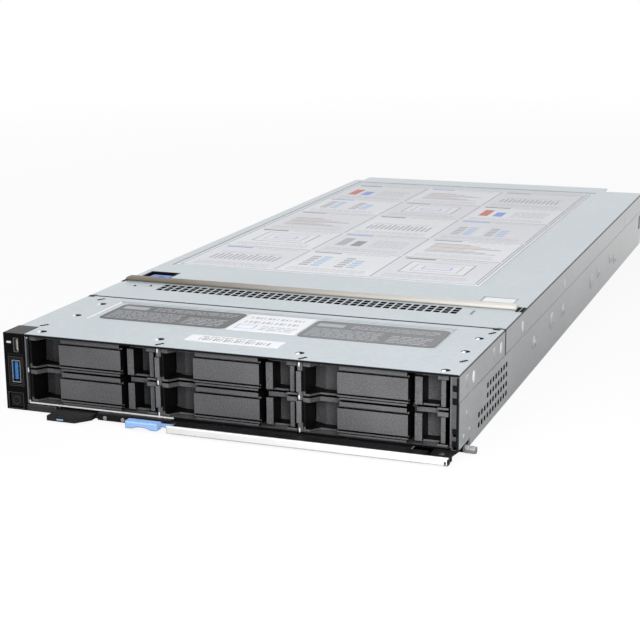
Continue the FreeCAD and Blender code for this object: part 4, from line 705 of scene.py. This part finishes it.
def addPanelMarks():
    proud, line, inset = panelMarks["proud"], panelMarks["line"], panelMarks["inset"]
    left, low, right, high = panelMarks["usb"]
    bezels = frameBars(panelMarks["usb"], line, -proud) + frameBars(panelMarks["button"], line, -proud)
    bezels += frameBars((left + inset, low + inset, right - inset, high - inset), line * 0.8, -proud * 0.6)
    addBar("panel_bezels", bezels, panelMarks["bevel"], "mark_grey", "chassis", "panel_plastic")
    pitch = panelMarks["dotsRun"] / (panelMarks["dots"] - 1)
    dots = [(panelMarks["dotsLeft"] + k * pitch, 0.0, panelMarks["dotsHigh"])
            for k in range(panelMarks["dots"])]
    scatter("panel_dots", "ball", dots, panelMarks["dotSize"], "mark_grey", "chassis")
    hoops = []
    for turn in circle(ring["steps"]):
        reach = [(ring["radius"] + math.cos(a) * ring["thick"], ring["d"] - math.sin(a) * ring["deep"])
                 for a in circle(ring["sides"])]
        hoops.append([(ring["x"] + math.cos(turn) * out, d, ring["z"] + math.sin(turn) * out)
                      for out, d in reach])
    shape = bmesh.new()
    skin(shape, hoops, closed=True)
    keep("button_ring", shape, "mark_grey", "power_button", smooth=True)
    glints = [(x + notches["aside"], notches["d"], z)
              for x in notches["dividers"] for z in notches["heights"]]
    scatter("divider_glints", "ball", glints, notches["size"], "handle_silver", "chassis")


# turned nose of the lever: share of its length and of its radius

nose = {"from": 250.7, "to": 256.1, "d": 10.5, "z": 2.15, "radius": 1.95, "sides": 28,
        "profile": ((0.0, 1.0), (0.30, 1.0), (0.34, 0.93), (0.40, 0.93), (0.44, 1.0), (0.86, 1.0),
                    (0.96, 0.86), (1.0, 0.6))}


def addNose():
    rings = []
    for share, scale in nose["profile"]:
        x, radius = nose["from"] + share * (nose["to"] - nose["from"]), nose["radius"] * scale
        rings.append([(x, nose["d"] + math.cos(turn) * radius, nose["z"] + math.sin(turn) * radius)
                      for turn in circle(nose["sides"])])
    shape = bmesh.new()
    skin(shape, rings)
    keep("lever_nose_sleeve", shape, "bright_steel", "handle")


# USB tongue to the left in its shell, with four contacts on its open side

usbTongue = {"blade": ((5.05, 1.5, 16.3), (6.95, 11.6, 26.3)),
             "root": ((4.75, 11.6, 15.7), (9.05, 13.6, 26.9)), "bevel": 0.15,
             "contacts": [(6.95, 5.0, 17.6 + k * 2.45) for k in range(4)], "contact": (0.5, 6.4, 1.1)}


def addUsbTongue():
    tongue = addBar("usb_tongue", (usbTongue["blade"], usbTongue["root"]), usbTongue["bevel"], "tongue_blue",
                    "chassis", "blue_plastic")
    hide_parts("usb_port_tongue")
    scatter("usb_contacts", "brick", usbTongue["contacts"], usbTongue["contact"], "hole_black", "chassis")


# gold contacts in the rear connectors

rearContacts = {"wafers": 8, "wide": 56.0, "centres": (59.1, 191.1), "aside": 0.45, "d": 569.5, "low": 19.6,
                "rows": 6, "pitch": 2.0, "size": (0.7, 6.5, 1.0)}


def addContacts():
    step = rearContacts["wide"] / rearContacts["wafers"]
    spots = []
    for centre in rearContacts["centres"]:
        for number in range(rearContacts["wafers"]):
            x = centre + (number + 0.5) * step - rearContacts["wide"] / 2 + rearContacts["aside"]
            spots += [(x, rearContacts["d"], rearContacts["low"] + row * rearContacts["pitch"])
                      for row in range(rearContacts["rows"])]
    scatter("fabric_contacts", "brick", spots, rearContacts["size"], "contact_gold", "chassis")


# soft gasket bar in place of its plain solid

gasket = {"left": 1.5, "right": 245.4, "front": 134.9, "back": 142.6, "tall": 2.1, "steps": 220, "round": 14,
          "square": 0.55, "pinch": 0.8, "pinchRate": 60, "sag": ((0.03, 0.11), (0.02, 0.37))}


def makeGasket():
    middle = (gasket["front"] + gasket["back"]) / 2
    half = (gasket["back"] - gasket["front"]) / 2
    arch = [math.pi * turn / gasket["round"] for turn in range(gasket["round"] + 1)]
    rings = []
    for step in range(gasket["steps"] + 1):
        share = step / gasket["steps"]
        x = gasket["left"] + share * (gasket["right"] - gasket["left"])
        tall = gasket["tall"] * min(1.0, gasket["pinch"] + min(share, 1 - share) * gasket["pinchRate"])
        tall *= 1 + sum(share * math.sin(x * rate) for share, rate in gasket["sag"])
        rings.append([])
        for angle in arch:
            aside = math.copysign(abs(math.cos(angle)) ** gasket["square"], math.cos(angle))
            high = tall * math.sin(angle) ** gasket["square"]
            rings[-1].append((x, middle - half * aside, sled["top"] + high))
    shape = bmesh.new()
    skin(shape, rings)
    bar = keep("gasket_bar", shape, "gasket_fabric", "cover", smooth=True)
    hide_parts("emi_gasket")


# printed sheets, with bars in place of words

inkLevel = 0.03
cornerSteps = 4
wordBars = {"short": 2.0, "long": 7.0, "gap": 1.0}
inks = {
    "film": (0.84, 0.86, 0.90, 1), "line": (0.25, 0.25, 0.28, 1), "pale": (0.85, 0.87, 0.91, 1),
    "blue": (0.20, 0.33, 0.82, 1), "sky": (0.46, 0.62, 0.86, 1), "rust": (0.56, 0.13, 0.055, 1),
    "sand": (0.66, 0.42, 0.28, 1), "dusk": (0.46, 0.46, 0.50, 1), "slate": (0.125, 0.13, 0.138, 1),
    "ash": (0.25, 0.26, 0.275, 1), "white": (0.90, 0.905, 0.93, 1), "rose": (0.82, 0.82, 0.86, 1),
    "chalk": (0.37, 0.385, 0.41, 1), "tar": (0.07, 0.07, 0.075, 1), "coal": (0.05, 0.052, 0.056, 1),
}


def plaque(shape, low, high, radius, ink, layer):  # a sheet with round corners
    outline = []
    corners = ((high[0], high[1], 0), (low[0], high[1], 90), (low[0], low[1], 180), (high[0], low[1], 270))
    for x, y, start in corners:
        inX = x - math.copysign(radius, x - (low[0] + high[0]) / 2)
        inY = y - math.copysign(radius, y - (low[1] + high[1]) / 2)
        for step in range(cornerSteps + 1):
            turn = math.radians(start + step * 90 / cornerSteps)
            outline.append((inX + math.cos(turn) * radius, inY + math.sin(turn) * radius))
    rings = [[shape.verts.new((x, y, z)) for x, y in outline] for z in (low[2], high[2])]
    faces = [shape.faces.new(rings[1]), shape.faces.new(rings[0][::-1])]
    for k in range(len(outline)):
        after = (k + 1) % len(outline)
        faces.append(shape.faces.new((rings[0][k], rings[0][after], rings[1][after], rings[1][k])))
    for face in faces:
        for loop in face.loops:
            loop[layer] = ink


class Sheet:  # a film with ink blocks, built up in one mesh
    def __init__(self, box, low, high, film, radius=1.0):
        left, front, right, back = box
        self.shape = bmesh.new()
        self.layer = self.shape.loops.layers.float_color.new("ink")
        self.left, self.front, self.high = left, front, high
        self.wide, self.deep = right - left, back - front
        plaque(self.shape, place(left, front, low), place(right, back, high), radius / 1000, inks[film],
               self.layer)

    def block(self, x, d, wide, deep, ink, level=1):
        low = place(self.left + x, self.front + d, self.high)
        high = place(self.left + x + wide, self.front + d + deep, self.high + inkLevel * level)
        slab(self.shape, low, high, inks[ink], self.layer)

    def words(self, x, d, wide, rows, pitch, ink, chance, tall=0.8):  # lines of plain bars
        for row in range(rows):
            at = x
            while at < x + wide - wordBars["short"]:
                long = min(chance.uniform(wordBars["short"], wordBars["long"]), x + wide - at)
                self.block(at, d + row * pitch, long, tall, ink, 2)
                at += long + wordBars["gap"]

    def keep(self, name, body, slotName):
        return keep(name, self.shape, "printed_film", body)


def drawTallies(sheet, x, d, wide, step, chance):  # a row of upright bars
    for k in range(14):
        sheet.block(x + 6 + k * 3.4, d + 20, 1.7, 15 + k % 3 * 2, "ash" if step % 2 else "dusk", 2)
    sheet.words(x + 6, d + 40, wide - 16, 2, 2.8, "dusk", chance, 0.6)


def drawFrames(sheet, x, d, wide, step, chance):  # nested frames
    for k, ink in enumerate(("line", "white", "dusk", "white", "blue", "white")):
        grow = k // 2 * 6 + k % 2 * 0.8
        sheet.block(x + 9 + grow, d + 18 + grow, wide - 20 - grow * 2, 32 - grow * 2, ink, 2 + k)


def drawLadder(sheet, x, d, wide, step, chance):  # a ladder of thin bands
    for k in range(8):
        long = wide - 14 - (k * 5 % 4) * 8
        sheet.block(x + 6, d + 18 + k * 4, long, 1.5, ("dusk", "line", "sand")[k % 3], 2)


def drawTiles(sheet, x, d, wide, step, chance):  # small tiles in a stepped field
    for k in range(30):
        if k % 6 < 6 - k // 12:
            ink = ("dusk", "sky", "pale")[k * 7 % 3]
            sheet.block(x + 6 + k % 6 * 8, d + 18 + k // 6 * 6.4, 6, 4.2, ink, 2)


def drawBlocks(sheet, x, d, wide, step, chance):  # two blocks beside a column of lines
    sheet.block(x + 6, d + 20, 7, 26, "rust" if step > 2 else "dusk", 2)
    sheet.block(x + 17, d + 20, 7, 18, "blue" if step > 2 else "ash", 2)
    sheet.words(x + 30, d + 20, wide - 36, 8, 3.2, "dusk", chance, 0.8)


coverLabel = {"box": (9.5, 189.0, 211.0, 546.0), "lift": 0.25, "recess": 0.4, "seed": 11, "border": 2,
              "line": 0.6, "columns": ((5, 60), (69, 60), (133, 63)),
              "rows": ((5, 64), (72, 62), (137, 74), (214, 62), (279, 70)), "heads": ("blue", "tar", "ash"),
              "motifs": (drawTallies, drawFrames, drawLadder, drawTiles, drawBlocks)}


def makeCoverLabel():
    chance = random.Random(coverLabel["seed"])
    floor = sled["top"] - coverLabel["recess"]
    sheet = Sheet(coverLabel["box"], floor, floor + coverLabel["lift"], "film")
    border, line = coverLabel["border"], coverLabel["line"]
    across, along = sheet.wide - border * 2, sheet.deep - border * 2
    for edge in ((border, border, across, line), (border, sheet.deep - border - line, across, line),
                 (border, border, line, along), (sheet.wide - border - line, border, line, along)):
        sheet.block(*edge, "line", 1)
    for number, (x, wide) in enumerate(coverLabel["columns"]):
        for step, (d, deep) in enumerate(coverLabel["rows"]):
            sheet.block(x, d, wide, deep, "white" if (number + step) % 2 else "rose", 1)
            sheet.block(x, d + deep, wide, 0.7, "line", 2)
            sheet.block(x + wide + 1, d, line, deep, "line", 2)
            head = coverLabel["heads"][(number * 2 + step) % 3]
            sheet.block(x + 2, d + deep - 5.5, wide * 0.32, 2.6, head, 2)
            sheet.words(x + wide * 0.42, d + deep - 5, wide * 0.5, 1, 3, "dusk", chance, 1.0)
            sheet.words(x + 3, d + 3, wide - 8, 4, 2.6, "dusk", chance, 0.6)
            coverLabel["motifs"][(number * 3 + step) % 5](sheet, x, d, wide, step, chance)
    sheet.keep("cover_label", "cover", "zinc_steel")


frontLabels = {"lift": 0.2, "recess": 0.5, "seed": 5, "radius": 3.5,
               "dark": {"front_label_left": ((31.0, 46.2, 107.3, 80.0), "coal"),
                        "front_label_right": ((149.2, 44.3, 224.2, 79.6), "slate")},
               "middle": (108.4, 45.6, 148.0, 80.6), "strip": (97.9, 16.5, 150.3, 28.4)}


def makeFrontLabels():
    chance = random.Random(frontLabels["seed"])
    floor = sled["top"] - frontLabels["recess"]
    high = floor + frontLabels["lift"]
    for name, (box, film) in frontLabels["dark"].items():
        sheet = Sheet(box, floor, high, film, frontLabels["radius"])
        sheet.words(3, 3, sheet.wide * 0.55, 8, 2.2, "chalk", chance, 0.8)
        sheet.words(sheet.wide * 0.64, 3, sheet.wide * 0.3, 5, 3.0, "chalk", chance, 1.2)
        sheet.block(3, 23.5, sheet.wide * 0.2, 6, "chalk", 1)
        sheet.words(sheet.wide * 0.3, 23.5, sheet.wide * 0.65, 3, 2.5, "chalk", chance, 0.9)
        sheet.keep(name, "chassis", "zinc_steel")
    sheet = Sheet(frontLabels["middle"], floor, high, "white")
    sheet.block(3, 4, 11, 9, "sky", 1)
    sheet.block(4, 5, 9, 7, "white", 2)
    sheet.words(17, 4, 20, 3, 3.2, "dusk", chance, 1.2)
    for k in range(13):
        sheet.block(4 + k * 2.5, 16.5, 0.7 + (k % 3) * 0.5, 4.2, "dusk", 1)
        sheet.block(4 + k * 2.5, 26.0, 0.7 + (k * 5 % 3) * 0.5, 3.4, "dusk", 1)
    sheet.keep("front_label_middle", "chassis", "zinc_steel")
    strip = Sheet(frontLabels["strip"], sled["top"], sled["top"] + frontLabels["lift"], "white")
    for k in range(20):
        strip.block(7 + k * 2.0, 2.6, 0.5 + (k * 5 % 3) * 0.4, 5.0, "chalk", 2)
    strip.words(7, 9, 30, 1, 3, "dusk", chance, 1.2)
    strip.keep("front_strip", "chassis", "zinc_steel")


# floor, room and lamps

room = {"white": 1.0, "fill": 0.24, "air": (0.93, 0.96, 1.0, 1), "seen": 0.9, "paper": 0.42, "seenPaper": 0.9,
        "back": 0.9, "reach": (-0.28, 0.32), "clear": (0.45, 1.6), "floor": 6, "drop": 0.0005}
lamps = {"key": {"spot": (-0.8, -0.5, 1.5), "aim": (0, 0, 0), "size": 2.2, "power": 24.0},
         "front": {"spot": (0.27, -0.56, 0.20), "aim": (0.10, -0.28, 0.02), "size": 0.26, "power": 1.9}}


def setStage():
    finish = Finish("floor_paper")
    camera, shine, through = finish.rays()
    tone = finish.mix(camera, grey(room["paper"]), grey(room["seenPaper"]))
    paper = finish.add("ShaderNodeBsdfDiffuse", inputs={"Color": tone})
    glow = finish.add("ShaderNodeEmission", inputs={"Color": grey(1), "Strength": room["white"]})
    far = finish.ramp(finish.axes()[1], *room["reach"])  # the paper is brighter towards the back
    away = finish.add("ShaderNodeVectorMath", {"operation": "LENGTH"}, {0: finish.spot()}, out="Value")
    clear = finish.ramp(away, *room["clear"])  # no edge to the floor far off
    clear = room["seen"] + clear * (1 - room["seen"])
    share = camera * clear + (shine + through) * (far * room["back"])  # the rest is shadow
    seen = finish.add("ShaderNodeMixShader", inputs={0: share, 1: paper, 2: glow})
    finish.add("ShaderNodeOutputMaterial", inputs={"Surface": seen})
    shape = bmesh.new()
    bmesh.ops.create_grid(shape, x_segments=1, y_segments=1, size=room["floor"])
    mesh = bpy.data.meshes.new("floor")
    shape.to_mesh(mesh)
    shape.free()
    mesh.materials.append(finish.owner)
    floor = bpy.data.objects.new("floor", mesh)
    bpy.context.scene.collection.objects.link(floor)
    floor.location.z = -room["drop"]
    bpy.context.scene.view_settings.view_transform = "Standard"


def setRoom():  # white where it is seen, softer where it lights
    bpy.context.scene.world = bpy.data.worlds.new("room")
    finish = Finish("room", bpy.context.scene.world)
    camera, shine, through = finish.rays()
    share = through.sum("MAXIMUM", through.sum("MAXIMUM", camera, shine), through)
    soft = finish.add("ShaderNodeBackground", inputs={"Color": room["air"], "Strength": room["fill"]})
    white = finish.add("ShaderNodeBackground", inputs={"Color": grey(1), "Strength": room["white"]})
    seen = finish.add("ShaderNodeMixShader", inputs={0: share, 1: soft, 2: white})
    finish.add("ShaderNodeOutputWorld", inputs={"Surface": seen})


def addLamps():
    for name, look in lamps.items():
        data = bpy.data.lights.new(name, "AREA")
        data.size = look["size"]
        data.energy = look["power"]
        lamp = bpy.data.objects.new(name, data)
        lamp.location = look["spot"]
        lamp.rotation_euler = (Vector(look["aim"]) - Vector(look["spot"])).to_track_quat("-Z", "Y").to_euler()
        lamp.visible_glossy = False  # metal shows the pale room, and no lamp burns out in it
        bpy.context.scene.collection.objects.link(lamp)


setCamera()
setStage()
setRoom()
addLamps()
print("stage set")
addStamps()
addRecessBends()
addBars()
addPanelMarks()
addNose()
addUsbTongue()
addContacts()
makeGasket()
makeCoverLabel()
makeFrontLabels()
print("pieces made")
